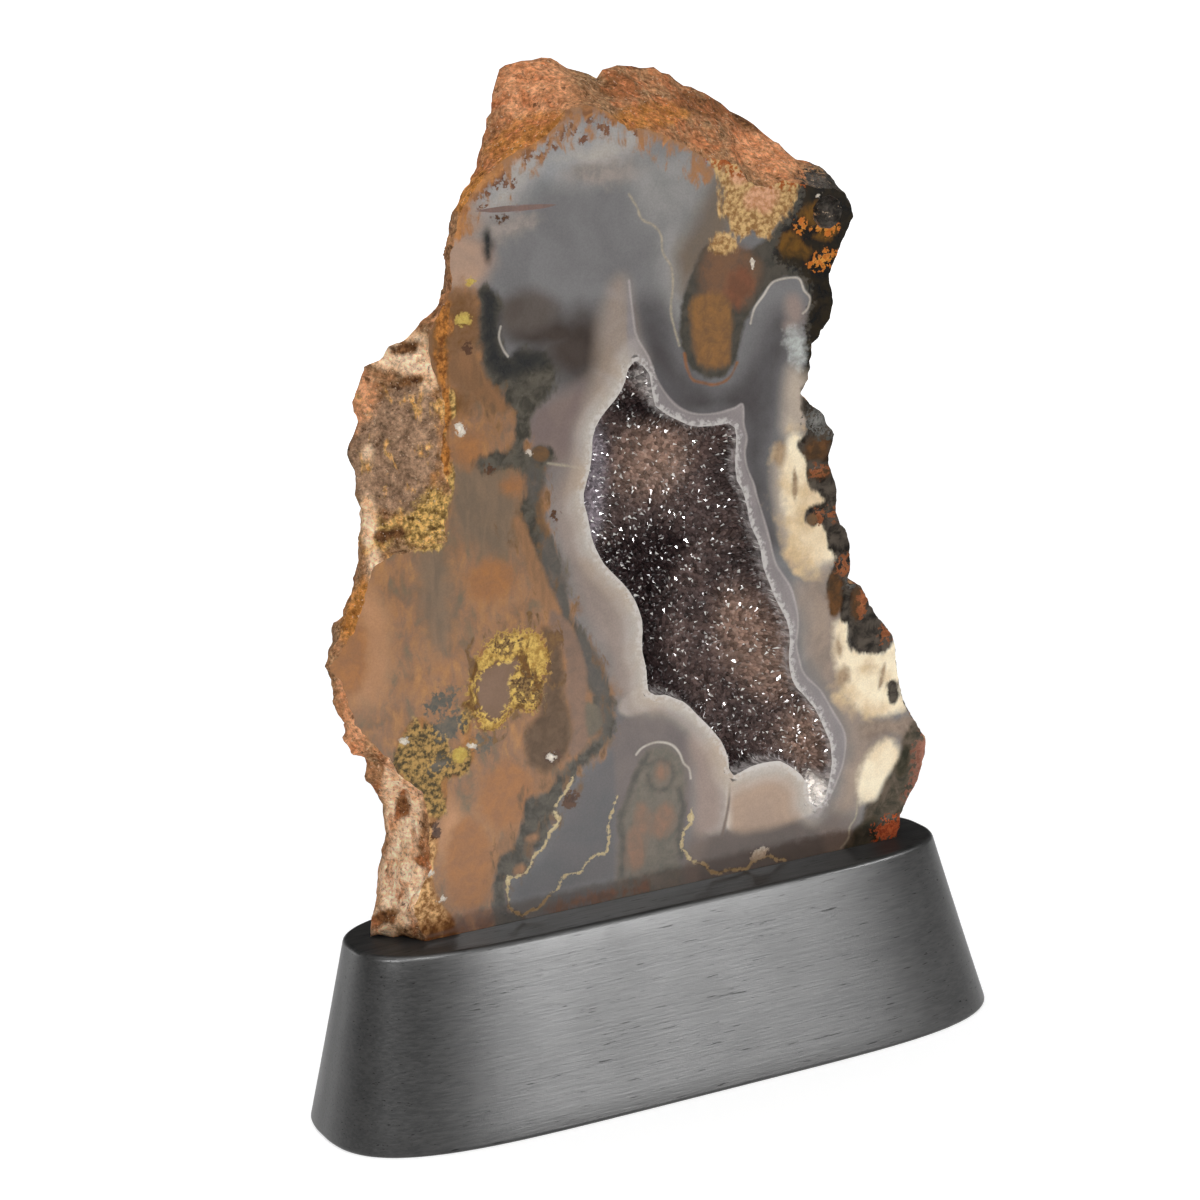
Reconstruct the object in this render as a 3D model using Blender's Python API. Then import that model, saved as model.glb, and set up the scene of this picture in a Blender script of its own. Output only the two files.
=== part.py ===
"""Agate geode, cut flat and polished in front, on a black wooden stand.

Three loose pieces: the wooden stand, the agate stone that rests on it, and
the crust of small quartz crystals that lines the hollow in the stone.
Lengths are in millimetres and MM turns them into metres. +Z is up, the
polished face looks towards -Y, and the origin is the middle of the stand's
underside.
"""
import math
import random

import bmesh
import bpy
import numpy as np
from mathutils import Vector, noise
from mathutils.geometry import delaunay_2d_cdt

MM = 0.001

# Wooden stand
STAND_HEIGHT = 38.0
STAND_BOTTOM_LENGTH = 150.0
STAND_BOTTOM_DEPTH = 51.0
STAND_TOP_LENGTH = 131.0
STAND_TOP_DEPTH = 34.0
STAND_END_POWER = 4.8
STAND_SIDE_POWER = 2.7
STAND_EDGE_ROUNDING = 0.8
STAND_OUTLINE_POINTS = 72
STAND_CURVE_SAMPLES = 2000
STAND_SHARP_ANGLE = math.radians(35.0)

# Stone as it stands
CONTACT_GAP = 0.3
FACE_LEAN = math.radians(3.6)
FACE_FOOT_Y = -6.2
STONE_THICKNESS = 25.5
STONE_CENTRE = (-5.0, 75.0)
RING_ANGLE_MIN = math.radians(0.9)
RING_ANGLE_MAX = math.radians(3.0)

# Rings between the polished edge and the girth, as shares of the way
SHOULDER_RINGS = (0.22, 0.5, 0.78)
# Rings from the girth to the back: share of the girth's size, share of the depth
# left, and the angle over which the jagged outline is softened there
BACK_RINGS = ((0.91, 0.42, math.radians(4.0)), (0.79, 0.76, math.radians(8.0)))
# How much of the rind's lumps each kind of ring takes, and how it spreads outwards
SHOULDER_ROUGHNESS = 0.8
GIRTH_ROUGHNESS = 0.3
BACK_ROUGHNESS = 1.0
LUMP_SPREAD = 0.6
SMOOTH_DEPTH = 4.0
BACK_SPACING = 5.8
BACK_MARGIN = 4.0
BACK_ROUNDING = 12.0
RIND_LUMP_SIZE = 17.0
RIND_LUMP_HEIGHT = 4.5
RIND_GRAIN_SIZE = 6.5
RIND_GRAIN_HEIGHT = 2.0

# Hollow and its crust
RIM_WIDTH = 1.3
CRUST_THICKNESS = 2.0
CRUST_GAP = 0.35
WALL_WIDTH_LEFT = 4.0
WALL_WIDTH_RIGHT = 9.0
HOLLOW_HALF_WIDTH = 18.0
RIM_SPACING = 2.2
FLOOR_SPACING = 4.2
FLOOR_MARGIN = 6.0
# Rows of points down the hollow's wall: inset from the rim, and one point kept in
WALL_ROWS = ((0.9, 1), (2.4, 2), (4.4, 2))
CORNER_CLEARANCE = 0.93
CRYSTAL_SPACING = 1.72
CRYSTAL_MARGIN = 0.8
CRYSTAL_HEIGHT = (0.5, 1.5)
CRYSTAL_VALLEY = 0.2
CRYSTAL_LEAST_DEPTH = 0.1
SCATTER_SEED = 5
SCATTER_TRIES = 12

# Pit in the dark corner of the face: centre, then radius and depth of each ring
PIT_CENTRE = (41.8, 134.6)
PIT_RINGS = ((3.4, 0.0), (2.6, 1.5), (1.4, 2.3))
PIT_POINTS = 9

# Outline of the polished face, clockwise from its lower left corner: along the
# face, then up it. Points under the foot are trimmed off by the foot's plane.
FACE_OUTLINE = (
    (-52, 0.3), (-54.5, 7), (-52.5, 11.5), (-50.2, 15), (-49.7, 25), (-51, 31),
    (-55, 35), (-57.5, 39), (-60, 42), (-63.5, 46.5), (-64.8, 51), (-66, 56),
    (-68.4, 59.6), (-66, 62), (-62.8, 66), (-60.5, 71), (-59, 76), (-57.5, 79.2),
    (-54, 79.6), (-47.6, 79.8), (-43, 80.6), (-43.3, 86), (-41.4, 90), (-43.3, 96.6),
    (-42, 103), (-41.8, 107.5), (-43, 111), (-44.3, 115.5), (-44.8, 119.5), (-43, 123),
    (-40.5, 126.5), (-39, 129), (-39.3, 134), (-38, 138.5), (-37, 142), (-35, 145.5),
    (-31.5, 148.8), (-28, 151.5), (-24.4, 153.2), (-20.4, 154.2), (-18, 155.6),
    (-15.7, 158), (-13, 160.2), (-9.3, 160.3), (-5.6, 159), (-3.5, 156.9), (-1, 155),
    (2.5, 155), (6.5, 153), (10.8, 151), (14.8, 148.2), (18.5, 147.8), (22, 146),
    (24.5, 142.5), (28, 141), (32, 142), (36, 141), (40, 139.6), (43.5, 139.3),
    (46, 138), (47.3, 135.5), (47.8, 133), (46.8, 130.5), (45, 128), (42.8, 126),
    (41.8, 123.5), (42.3, 120.5), (43, 117), (42.8, 114), (40, 111), (38, 108.5),
    (37.4, 104.4), (36.7, 101.4), (35.2, 99), (37.1, 96.7), (39.8, 94.7), (41.1, 92),
    (42.8, 89.6), (41.8, 86.6), (41, 84.2), (41.8, 81.8), (43.1, 78.1), (42.8, 73.4),
    (43.8, 70.7), (45.5, 68.4), (45.9, 64.3), (45.7, 60.6), (45.2, 57.9), (48.7, 56.3),
    (50.4, 52.5), (52.6, 49.2), (55.8, 44.8), (56.6, 42.5), (56.4, 39.6), (57.4, 32.9),
    (59, 28.5), (61.3, 24.6), (63.7, 20.8), (62.5, 14.6), (60.9, 10.7), (58.6, 7.5),
    (57, 5), (57, 2.3), (56, 0.3), (40, -6), (0, -8), (-35, -6),
)

# Girth of the rough body behind the face: along, up, and how deep it lies
GIRTH_OUTLINE = (
    (-60, -0.3, 9), (-59.5, 2.8, 9), (-57.4, 5.4, 9), (-56.8, 9.1, 9), (-55.8, 13.8, 9),
    (-55.4, 20, 9), (-55.6, 26.5, 9), (-57.2, 30, 8), (-59.9, 34.4, 6), (-60.8, 38.8, 4),
    (-64.2, 41.6, 2), (-65.3, 43.7, 2), (-64.7, 46.9, 1.8), (-66.5, 50.1, 1.5),
    (-67, 55.2, 1.5), (-68.8, 59.3, 1), (-67.5, 60.9, 1.5), (-64.4, 65.6, 1.5),
    (-62.2, 71.2, 1.5), (-60.3, 75.3, 2), (-59.1, 79.3, 3), (-58.7, 82.8, 3.5),
    (-58.4, 88, 3.5), (-59.6, 94.2, 3.5), (-60.2, 99, 3.5), (-58.7, 102.6, 3.5),
    (-57.6, 105.1, 3.5), (-58.4, 107.1, 3.5), (-57.3, 110.3, 3.5), (-55.8, 115.3, 3.5),
    (-52.4, 115.8, 3.5), (-51, 118.4, 3.5), (-48.4, 119.3, 3.5), (-45.7, 121.5, 3),
    (-43.9, 123.3, 3), (-41.9, 124.1, 2.5), (-40.6, 126.4, 2), (-39.3, 128, 1.5),
    (-39.8, 131.5, 1.5), (-39.2, 137.1, 1.5), (-37.3, 139.8, 1.5), (-36.6, 142.7, 2.5),
    (-34.2, 145.4, 4), (-30.6, 148.8, 6), (-27.8, 152.3, 8), (-25.6, 155.9, 12),
    (-23.4, 158.7, 14), (-21.8, 161.4, 16), (-20.5, 163.7, 18), (-19, 165.9, 19),
    (-15.5, 166.5, 20), (-10.6, 167.4, 20), (-8, 166.8, 19), (-5.2, 164.9, 18),
    (-2.4, 164.7, 18), (1, 163.4, 18), (4.7, 164.6, 19), (10, 163.9, 20),
    (15.1, 163.5, 21), (19.8, 160.6, 21), (23.3, 158.9, 21), (28.5, 155.2, 21),
    (33.9, 151.9, 21), (39.2, 147.5, 18), (42.2, 144, 14), (45.1, 141.2, 10),
    (46.4, 139, 6), (47.2, 136, 4), (47.4, 133.4, 3), (45.8, 130, 4), (41.6, 125.8, 5),
    (40.8, 121, 6), (41.6, 116, 6), (37.6, 109.6, 6), (36.4, 103.5, 6), (34.8, 98.8, 6),
    (38.6, 94.2, 6), (41.2, 89.4, 6), (39.8, 83.8, 6), (41.8, 78, 6), (42, 72, 6),
    (44.4, 66.5, 6), (44.2, 58.8, 6), (49, 52, 6), (54.6, 43.2, 6), (55.6, 33.5, 6),
    (59.4, 25, 5), (61.8, 20.4, 5), (60.6, 14.2, 5), (56.8, 7, 5), (55.4, 1.5, 6),
    (53, -10, 8), (30, -13, 12), (0, -14, 12), (-30, -13, 12), (-56, -7, 10),
)

# Edge where the crystals of the hollow begin, clockwise from its top tip
CRYSTAL_OUTLINE = (
    (-1.5, 110.3), (0.2, 109), (1.6, 107), (1.9, 103.5), (2.6, 100.6), (4.4, 99.1),
    (6.6, 97.6), (8.5, 96.6), (10.4, 95.5), (12.5, 95.2), (16, 95), (19.6, 95.1),
    (20.3, 92.5), (20, 89.7), (19.7, 86.5), (20, 83.3), (21.3, 81), (22.2, 77.9),
    (22.6, 74.7), (23.5, 71.9), (24.9, 69.5), (25.4, 64.8), (26.8, 61), (28.2, 57.2),
    (30.5, 52.9), (31.5, 49), (30.9, 44.3), (31.3, 40.4), (32.2, 38), (34.4, 35.6),
    (37.2, 31.8), (38.8, 28), (40.4, 24.1), (40.7, 19.3), (39.7, 15), (38.7, 11.7),
    (36.8, 10.5), (34.9, 12.4), (34.9, 15.6), (33.4, 18.4), (31.5, 20.3), (28.6, 22.5),
    (24.8, 22.9), (21, 22.5), (17.8, 21.2), (16.6, 21.9), (16.4, 25.6), (15.2, 28.9),
    (12.8, 32.3), (9.9, 35.6), (7.1, 39), (2.7, 41.4), (-0.6, 41.8), (-1.4, 43.3),
    (-1.4, 47.6), (-2.3, 51.9), (-1.8, 57.2), (-3, 61.5), (-4.9, 64.9), (-7.3, 67.7),
    (-9.8, 70.5), (-11.7, 74.4), (-12.4, 77), (-12.8, 80.2), (-13.6, 83.3),
    (-13.6, 85.9), (-12.4, 88.8), (-11.5, 92.6), (-11.3, 96), (-10.3, 98.8),
    (-8.8, 100.6), (-7.5, 101.8), (-5.3, 103.8), (-4, 105.7), (-3, 108.9),
)

# Middle line of the hollow and its depth there: up, along, depth
HOLLOW_LINE = (
    (10, 37, 5), (16, 37, 7), (22, 29, 10), (35, 22, 12.5), (55, 13, 13.5),
    (70, 7.5, 14), (85, 3.5, 12.5), (95, 3, 11), (102, -2, 8.5), (110, -1.5, 6),
)
HOLLOW_RIGHT_RISE = 3.0
HOLLOW_LEAST_DEPTH = 2.5

# Raised ground on the hollow's floor: along, up, half width, half height, rise
FLOOR_RISES = (
    (-10.5, 91, 4.5, 7.5, 6.5),
    (-10.0, 78, 4.5, 6.0, 7.0),
    (6.0, 87, 8.0, 8.0, 4.5),
    (33.0, 34, 7.0, 9.0, 3.0),
)

# Colour, roughness and metallic value of each piece
STAND_FINISH = ((0.045, 0.042, 0.04, 1.0), 0.42, 0.0)
STONE_FINISH = ((0.30, 0.24, 0.20, 1.0), 0.22, 0.0)
DRUSE_FINISH = ((0.10, 0.075, 0.07, 1.0), 0.18, 0.0)


def clear_scene():
    for scene_object in list(bpy.data.objects):
        bpy.data.objects.remove(scene_object, do_unlink=True)


def make_material(name, finish):
    colour, roughness, metallic = finish
    material = bpy.data.materials.new(name)
    material.use_nodes = True
    shader = material.node_tree.nodes["Principled BSDF"]
    shader.inputs["Base Color"].default_value = colour
    shader.inputs["Roughness"].default_value = roughness
    shader.inputs["Metallic"].default_value = metallic
    return material


def make_object(name, points, faces, finish):
    """One closed body from points in millimetres, its faces turned outwards."""
    mesh = bpy.data.meshes.new(name)
    mesh.from_pydata([(x * MM, y * MM, z * MM) for x, y, z in points], [], faces)
    body = bmesh.new()
    body.from_mesh(mesh)
    bmesh.ops.recalc_face_normals(body, faces=body.faces)
    body.to_mesh(mesh)
    body.free()
    mesh.materials.append(make_material(name, finish))
    scene_object = bpy.data.objects.new(name, mesh)
    bpy.context.scene.collection.objects.link(scene_object)
    return scene_object


def face_point(along, up, depth):
    """A point of the stone: along and up its polished face, and depth behind it."""
    lean_y, lean_z = -math.sin(FACE_LEAN), math.cos(FACE_LEAN)
    return (along, FACE_FOOT_Y + lean_y * up + lean_z * depth,
            STAND_HEIGHT + lean_z * up - lean_y * depth)


def above_foot(along, up, depth):
    """The same point, lifted to the flat sawn foot if it lies below it."""
    lowest = (CONTACT_GAP - math.sin(FACE_LEAN) * depth) / math.cos(FACE_LEAN)
    return along, max(up, lowest), depth


def even_loop(outline, spacing):
    """Points at about the given spacing along a closed outline."""
    corners = np.array(outline + outline[:1], float)
    runs = np.hypot(*np.diff(corners, axis=0).T)
    travelled = np.concatenate(([0.0], np.cumsum(runs)))
    count = int(round(travelled[-1] / spacing))
    stops = np.linspace(0.0, travelled[-1], count, endpoint=False)
    return np.column_stack([np.interp(stops, travelled, corners[:, i]) for i in (0, 1)])


def edge_distance(points, loop):
    """Distance from each point to a closed loop, counted positive inside it."""
    points = np.atleast_2d(points)
    start, end = loop, np.roll(loop, -1, axis=0)
    run = end - start
    reach = points[:, None, :] - start[None]
    share = np.clip((reach * run).sum(2) / (run * run).sum(1), 0.0, 1.0)
    nearest = np.hypot(*np.moveaxis(reach - share[..., None] * run, 2, 0)).min(1)
    above = start[None, :, 1] > points[:, None, 1]
    crosses = above != (end[None, :, 1] > points[:, None, 1])
    rise = np.where(run[:, 1] == 0.0, 1.0, run[:, 1])
    meets = start[:, 0] + (points[:, None, 1] - start[:, 1]) / rise * run[:, 0]
    inside = (crosses & (points[:, None, 0] < meets)).sum(1) % 2 == 1
    return np.where(inside, nearest, -nearest)


def shifted_loop(loop, inwards):
    """The loop moved inwards along its own normals, point for point."""
    travel = np.roll(loop, -1, axis=0) - np.roll(loop, 1, axis=0)
    travel /= np.hypot(*travel.T)[:, None]
    normal = np.column_stack((travel[:, 1], -travel[:, 0]))
    return loop + inwards * normal


def offset_loop(loop, inwards):
    """The moved loop without the points that crowd its sharp corners."""
    moved = shifted_loop(loop, inwards)
    clear = np.abs(edge_distance(moved, loop)) > CORNER_CLEARANCE * abs(inwards)
    return moved[clear]


def triangulate(points, loops, keep):
    """Triangles over flat points that follow the loops and pass the keep test."""
    edges = [(loop[i - 1], loop[i]) for loop in loops for i in range(len(loop))]
    flat = [Vector(point) for point in points]
    _, _, faces, sources, _, _ = delaunay_2d_cdt(flat, edges, [], 0, 1e-6, True)
    triangles = [tuple(sources[i][0] for i in face) for face in faces]
    middles = np.array([[points[i] for i in triangle] for triangle in triangles]).mean(1)
    return [triangle for triangle, kept in zip(triangles, keep(middles)) if kept]


def stand_outline(length, depth):
    """Plan of the stand: a long oval with slightly bowed sides and round ends."""
    turns = np.linspace(0.0, 2.0 * math.pi, STAND_CURVE_SAMPLES)
    across, along = np.cos(turns), np.sin(turns)
    x = 0.5 * length * np.sign(across) * np.abs(across) ** (2.0 / STAND_END_POWER)
    y = 0.5 * depth * np.sign(along) * np.abs(along) ** (2.0 / STAND_SIDE_POWER)
    travelled = np.concatenate(([0.0], np.cumsum(np.hypot(np.diff(x), np.diff(y)))))
    stops = np.linspace(0.0, travelled[-1], STAND_OUTLINE_POINTS, endpoint=False)
    return np.interp(stops, travelled, x), np.interp(stops, travelled, y)


def build_stand():
    rounding = STAND_EDGE_ROUNDING
    levels = ((0.0, -rounding), (rounding, 0.0),
              (STAND_HEIGHT - rounding, 0.0), (STAND_HEIGHT, -rounding))
    points = []
    for height, grow in levels:
        share = height / STAND_HEIGHT
        length = STAND_BOTTOM_LENGTH + share * (STAND_TOP_LENGTH - STAND_BOTTOM_LENGTH)
        depth = STAND_BOTTOM_DEPTH + share * (STAND_TOP_DEPTH - STAND_BOTTOM_DEPTH)
        x, y = stand_outline(length + grow, depth + grow)
        points += [(px, py, height) for px, py in zip(x, y)]
    count = STAND_OUTLINE_POINTS
    faces = [tuple(range(count)), tuple(range(3 * count, 4 * count))]
    for level in range(len(levels) - 1):
        for i in range(count):
            j = (i + 1) % count
            low, high = level * count, (level + 1) * count
            faces.append((low + i, low + j, high + j, high + i))
    stand = make_object("wooden_stand", points, faces, STAND_FINISH)
    stand.data.shade_smooth()
    stand.data.set_sharp_from_angle(angle=STAND_SHARP_ANGLE)
    return stand


def polar(outline):
    """Angles about the stone's centre, sorted, and the outline's columns beside them."""
    rows = np.array(outline, float)
    reach = rows[:, :2] - STONE_CENTRE
    angles = np.arctan2(reach[:, 1], reach[:, 0])
    order = np.argsort(angles)
    columns = np.column_stack((np.hypot(*reach.T), rows[:, 2:]))
    return angles[order], columns[order]


def ring_angles(*outlines):
    """Directions for the stone's rings: every corner of the outlines, and fillers."""
    corners = np.unique(np.concatenate([polar(outline)[0] for outline in outlines]))
    chosen = [corners[0]]
    for corner in corners[1:]:
        gap = corner - chosen[-1]
        if gap < RING_ANGLE_MIN:
            continue
        extra = int(gap // RING_ANGLE_MAX)
        chosen += [chosen[-1] + gap * k / (extra + 1) for k in range(1, extra + 1)]
        chosen.append(corner)
    return np.array(chosen)


def rind_noise(point):
    """Lumps and grain of the rough rind, from -1 to 1 times their heights."""
    place = Vector(point)
    lumps = noise.noise(place / RIND_LUMP_SIZE) * RIND_LUMP_HEIGHT
    return lumps + noise.noise(place / RIND_GRAIN_SIZE) * RIND_GRAIN_HEIGHT


def softened(values, angles, spread):
    """Values round a closed ring, each averaged with its neighbours in angle."""
    share = 0.5 * ((np.roll(angles, -1) - np.roll(angles, 1)) % (2.0 * math.pi))
    apart = (angles[:, None] - angles[None] + math.pi) % (2.0 * math.pi) - math.pi
    weight = np.exp(-(apart / spread) ** 2) * share
    return (weight * values).sum(1) / weight.sum(1)


def stone_rings():
    """Rings of points from the polished edge over the girth to the back."""
    angles = ring_angles(FACE_OUTLINE, GIRTH_OUTLINE)
    face_reach = np.interp(angles, *polar_column(FACE_OUTLINE, 0), period=2 * math.pi)
    girth_reach = np.interp(angles, *polar_column(GIRTH_OUTLINE, 0), period=2 * math.pi)
    girth_depth = np.interp(angles, *polar_column(GIRTH_OUTLINE, 1), period=2 * math.pi)
    levels = [(face_reach, 0.0 * girth_depth, 0.0)]
    for share in SHOULDER_RINGS:
        reach = face_reach + share * (girth_reach - face_reach)
        levels.append((reach, share * girth_depth, SHOULDER_ROUGHNESS))
    levels.append((girth_reach, girth_depth, GIRTH_ROUGHNESS))
    for size, share, spread in BACK_RINGS:
        reach = size * softened(girth_reach, angles, spread)
        depth = softened(girth_depth, angles, spread)
        depth = depth + share * (STONE_THICKNESS - depth)
        levels.append((reach, depth, BACK_ROUGHNESS))
    rings = []
    for reach, depth, roughness in levels:
        ring = []
        for angle, r, d in zip(angles, reach, depth):
            along = STONE_CENTRE[0] + r * math.cos(angle)
            up = STONE_CENTRE[1] + r * math.sin(angle)
            bump = roughness * min(1.0, d / SMOOTH_DEPTH) * rind_noise((along, up, d))
            along += LUMP_SPREAD * bump * math.cos(angle)
            up += LUMP_SPREAD * bump * math.sin(angle)
            ring.append(above_foot(along, up, d + LUMP_SPREAD * bump))
        rings.append(ring)
    return rings


def back_points(loop, loop_depths):
    """Scattered flat points of the rounded back with their depths."""
    points = scattered(loop, BACK_SPACING, BACK_MARGIN)
    apart = np.hypot(*np.moveaxis(points[:, None] - loop[None], 2, 0))
    weight = 1.0 / apart ** 2
    start = (weight * loop_depths).sum(1) / weight.sum(1)
    inset = edge_distance(points, loop)
    depths = STONE_THICKNESS - (STONE_THICKNESS - start) * np.exp(-inset / BACK_ROUNDING)
    for i, (along, up) in enumerate(points):
        depths[i] += min(1.0, inset[i] / BACK_ROUNDING) * rind_noise((along, up, depths[i]))
    return points, depths


def polar_column(outline, column):
    """Angles and one column of an outline, ready for interpolation."""
    angles, columns = polar(outline)
    return angles, columns[:, column]


def hollow_depth(points, edge, thinner):
    """Depth of the hollow's floor and walls at flat points inside an edge."""
    points = np.atleast_2d(points)
    up, middle, depth = np.array(HOLLOW_LINE, float).T
    side = points[:, 0] - np.interp(points[:, 1], up, middle)
    side = np.clip(side / HOLLOW_HALF_WIDTH, -1.0, 1.0)
    floor = np.interp(points[:, 1], up, depth) - thinner
    floor -= HOLLOW_RIGHT_RISE * np.maximum(side, 0.0)
    for along, height, half_width, half_height, rise in FLOOR_RISES:
        spread = ((points[:, 0] - along) / half_width) ** 2
        spread += ((points[:, 1] - height) / half_height) ** 2
        floor -= rise * np.exp(-spread)
    floor = np.maximum(floor, HOLLOW_LEAST_DEPTH)
    wall = WALL_WIDTH_LEFT + (WALL_WIDTH_RIGHT - WALL_WIDTH_LEFT) * (0.5 + 0.5 * side)
    share = np.clip(edge_distance(points, edge) / wall, 0.0, 1.0)
    return floor * np.sqrt(1.0 - (1.0 - share) ** 2)


def scattered(edge, spacing, margin):
    """Flat points strewn inside an edge, none nearer to another than the spacing."""
    draw = random.Random(SCATTER_SEED)
    low, high = edge.min(0), edge.max(0)
    tries = int(SCATTER_TRIES * np.prod(high - low) / spacing ** 2)
    spots = np.array([(draw.uniform(low[0], high[0]), draw.uniform(low[1], high[1]))
                      for _ in range(tries)])
    kept = []
    for spot in spots[edge_distance(spots, edge) > margin]:
        if not kept or np.hypot(*(np.array(kept) - spot).T).min() > spacing:
            kept.append(spot)
    return np.array(kept)


def hollow_surface(rim):
    """Flat points, depths and triangles of the hollow in the stone."""
    rows = [rim]
    for inset, stride in WALL_ROWS:
        rows.append(offset_loop(rim, inset)[::stride])
    rows.append(scattered(rim, FLOOR_SPACING, FLOOR_MARGIN))
    points = np.vstack(rows)
    depths = hollow_depth(points, rim, 0.0)
    depths[:len(rim)] = 0.0
    triangles = triangulate(points, [range(len(rim))],
                            lambda middles: edge_distance(middles, rim) > 0.0)
    return points, depths, triangles


def pit_points():
    """Rings of flat points with depths for the small pit in the dark corner."""
    rows = []
    for radius, depth in PIT_RINGS:
        for i in range(PIT_POINTS):
            turn = 2.0 * math.pi * i / PIT_POINTS
            rows.append((PIT_CENTRE[0] + radius * math.cos(turn),
                         PIT_CENTRE[1] + radius * math.sin(turn), depth))
    rows.append((PIT_CENTRE[0], PIT_CENTRE[1], PIT_RINGS[-1][1]))
    return np.array(rows)


def build_stone(rim, hollow):
    """The agate: polished face with the hollow cut in, rough rind, flat foot."""
    rings = stone_rings()
    count = len(rings[0])
    points = [face_point(*point) for ring in rings for point in ring]
    faces = []
    for level in range(len(rings) - 1):
        for i in range(count):
            j = (i + 1) % count
            low, high = level * count, (level + 1) * count
            faces.append((low + i, low + j, high + j))
            faces.append((low + i, high + j, high + i))

    back_loop = np.array(rings[-1])
    inner, inner_depths = back_points(back_loop[:, :2], back_loop[:, 2])
    back_first = (len(rings) - 1) * count
    back = triangulate(np.vstack((back_loop[:, :2], inner)), [range(count)],
                       lambda middles: edge_distance(middles, back_loop[:, :2]) > 0.0)
    points += [face_point(s, q, d) for (s, q), d in zip(inner, inner_depths)]
    faces += [tuple(back_first + i for i in triangle) for triangle in back]

    flat_points, depths, triangles = hollow
    first = len(points)
    points += [face_point(s, q, d) for (s, q), d in zip(flat_points, depths)]
    faces += [tuple(first + i for i in triangle) for triangle in triangles]

    pit = pit_points()
    pit_first = len(points)
    points += [face_point(*row) for row in pit]
    outer = np.array([point[:2] for point in rings[0]])
    flat = np.vstack((outer, rim, pit[:, :2]))
    index = list(range(count)) + list(range(first, first + len(rim)))
    index += list(range(pit_first, pit_first + len(pit)))
    loops = [range(count), range(count, count + len(rim))]
    front = triangulate(flat, loops, lambda middles: (edge_distance(middles, outer) > 0.0)
                        & (edge_distance(middles, rim) < 0.0))
    faces += [tuple(index[i] for i in triangle) for triangle in front]
    return make_object("agate_stone", points, faces, STONE_FINISH)


def crystal_field(edge):
    """Pointed crystals over the hollow: points with depths, and their facets."""
    tips = scattered(edge, CRYSTAL_SPACING, CRYSTAL_MARGIN)
    flat = np.vstack((edge, tips))
    triangles = triangulate(flat, [range(len(edge))],
                            lambda middles: edge_distance(middles, edge) > 0.0)
    draw = random.Random(SCATTER_SEED)
    heights = np.array([draw.uniform(*CRYSTAL_HEIGHT) for _ in tips])
    tip_depths = hollow_depth(tips, edge, CRUST_THICKNESS) - heights
    tip_depths = np.maximum(tip_depths, CRYSTAL_LEAST_DEPTH)
    valleys = np.array([flat[list(triangle)].mean(0) for triangle in triangles])
    valley_depths = hollow_depth(valleys, edge, CRUST_THICKNESS) + CRYSTAL_VALLEY
    depths = np.concatenate((np.zeros(len(edge)), tip_depths, valley_depths))

    sides = {}
    for number, triangle in enumerate(triangles):
        for i in range(3):
            side = frozenset((triangle[i], triangle[i - 1]))
            sides.setdefault(side, []).append(len(flat) + number)
    facets = []
    for side, neighbours in sides.items():
        a, b = sorted(side)
        if len(neighbours) == 1:
            facets.append((a, b, neighbours[0]))
        else:
            facets.append((a, neighbours[0], neighbours[1]))
            facets.append((b, neighbours[1], neighbours[0]))
    return np.vstack((flat, valleys)), depths, facets


def build_druse(edge, rim, hollow):
    """The crust: its back follows the hollow, its front is a field of crystals."""
    flat_points, depths, triangles = hollow
    back = np.array([face_point(s, q, d) for (s, q), d in zip(flat_points, depths)])
    normals = np.zeros_like(back)
    for triangle in triangles:
        a, b, c = back[list(triangle)]
        normal = np.cross(b - a, c - a)
        normal *= -math.copysign(1.0, normal[1])
        normals[list(triangle)] += normal
    normals /= np.linalg.norm(normals, axis=1)[:, None]
    back += CRUST_GAP * normals
    outer = shifted_loop(rim, CRUST_GAP)
    back[:len(rim)] = [face_point(s, q, 0.0) for s, q in outer]

    points = [tuple(point) for point in back]
    faces = list(triangles)
    front_flat, front_depths, facets = crystal_field(edge)
    first = len(points)
    points += [face_point(s, q, d) for (s, q), d in zip(front_flat, front_depths)]
    faces += [tuple(first + i for i in facet) for facet in facets]

    flat = np.vstack((outer, edge))
    index = list(range(len(rim))) + list(range(first, first + len(edge)))
    loops = [range(len(rim)), range(len(rim), len(flat))]
    band = triangulate(flat, loops, lambda middles: (edge_distance(middles, outer) > 0.0)
                       & (edge_distance(middles, edge) < 0.0))
    faces += [tuple(index[i] for i in triangle) for triangle in band]
    return make_object("quartz_druse", points, faces, DRUSE_FINISH)


def build():
    clear_scene()
    edge = even_loop(CRYSTAL_OUTLINE, RIM_SPACING)
    rim = offset_loop(edge, -RIM_WIDTH)
    hollow = hollow_surface(rim)
    build_stand()
    build_stone(rim, hollow)
    build_druse(edge, rim, hollow)


build()
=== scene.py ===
"""Looks of the agate geode on its black wooden stand.

Lengths are in millimetres unless a name says otherwise, and MM turns them into metres.
Places on the stone are given along its polished face, up the face, and in depth behind it.
"""

import math

import bmesh
import bpy
import numpy as np
from mathutils import Matrix, Vector, noise
from mathutils.geometry import delaunay_2d_cdt
from mathutils.kdtree import KDTree


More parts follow.
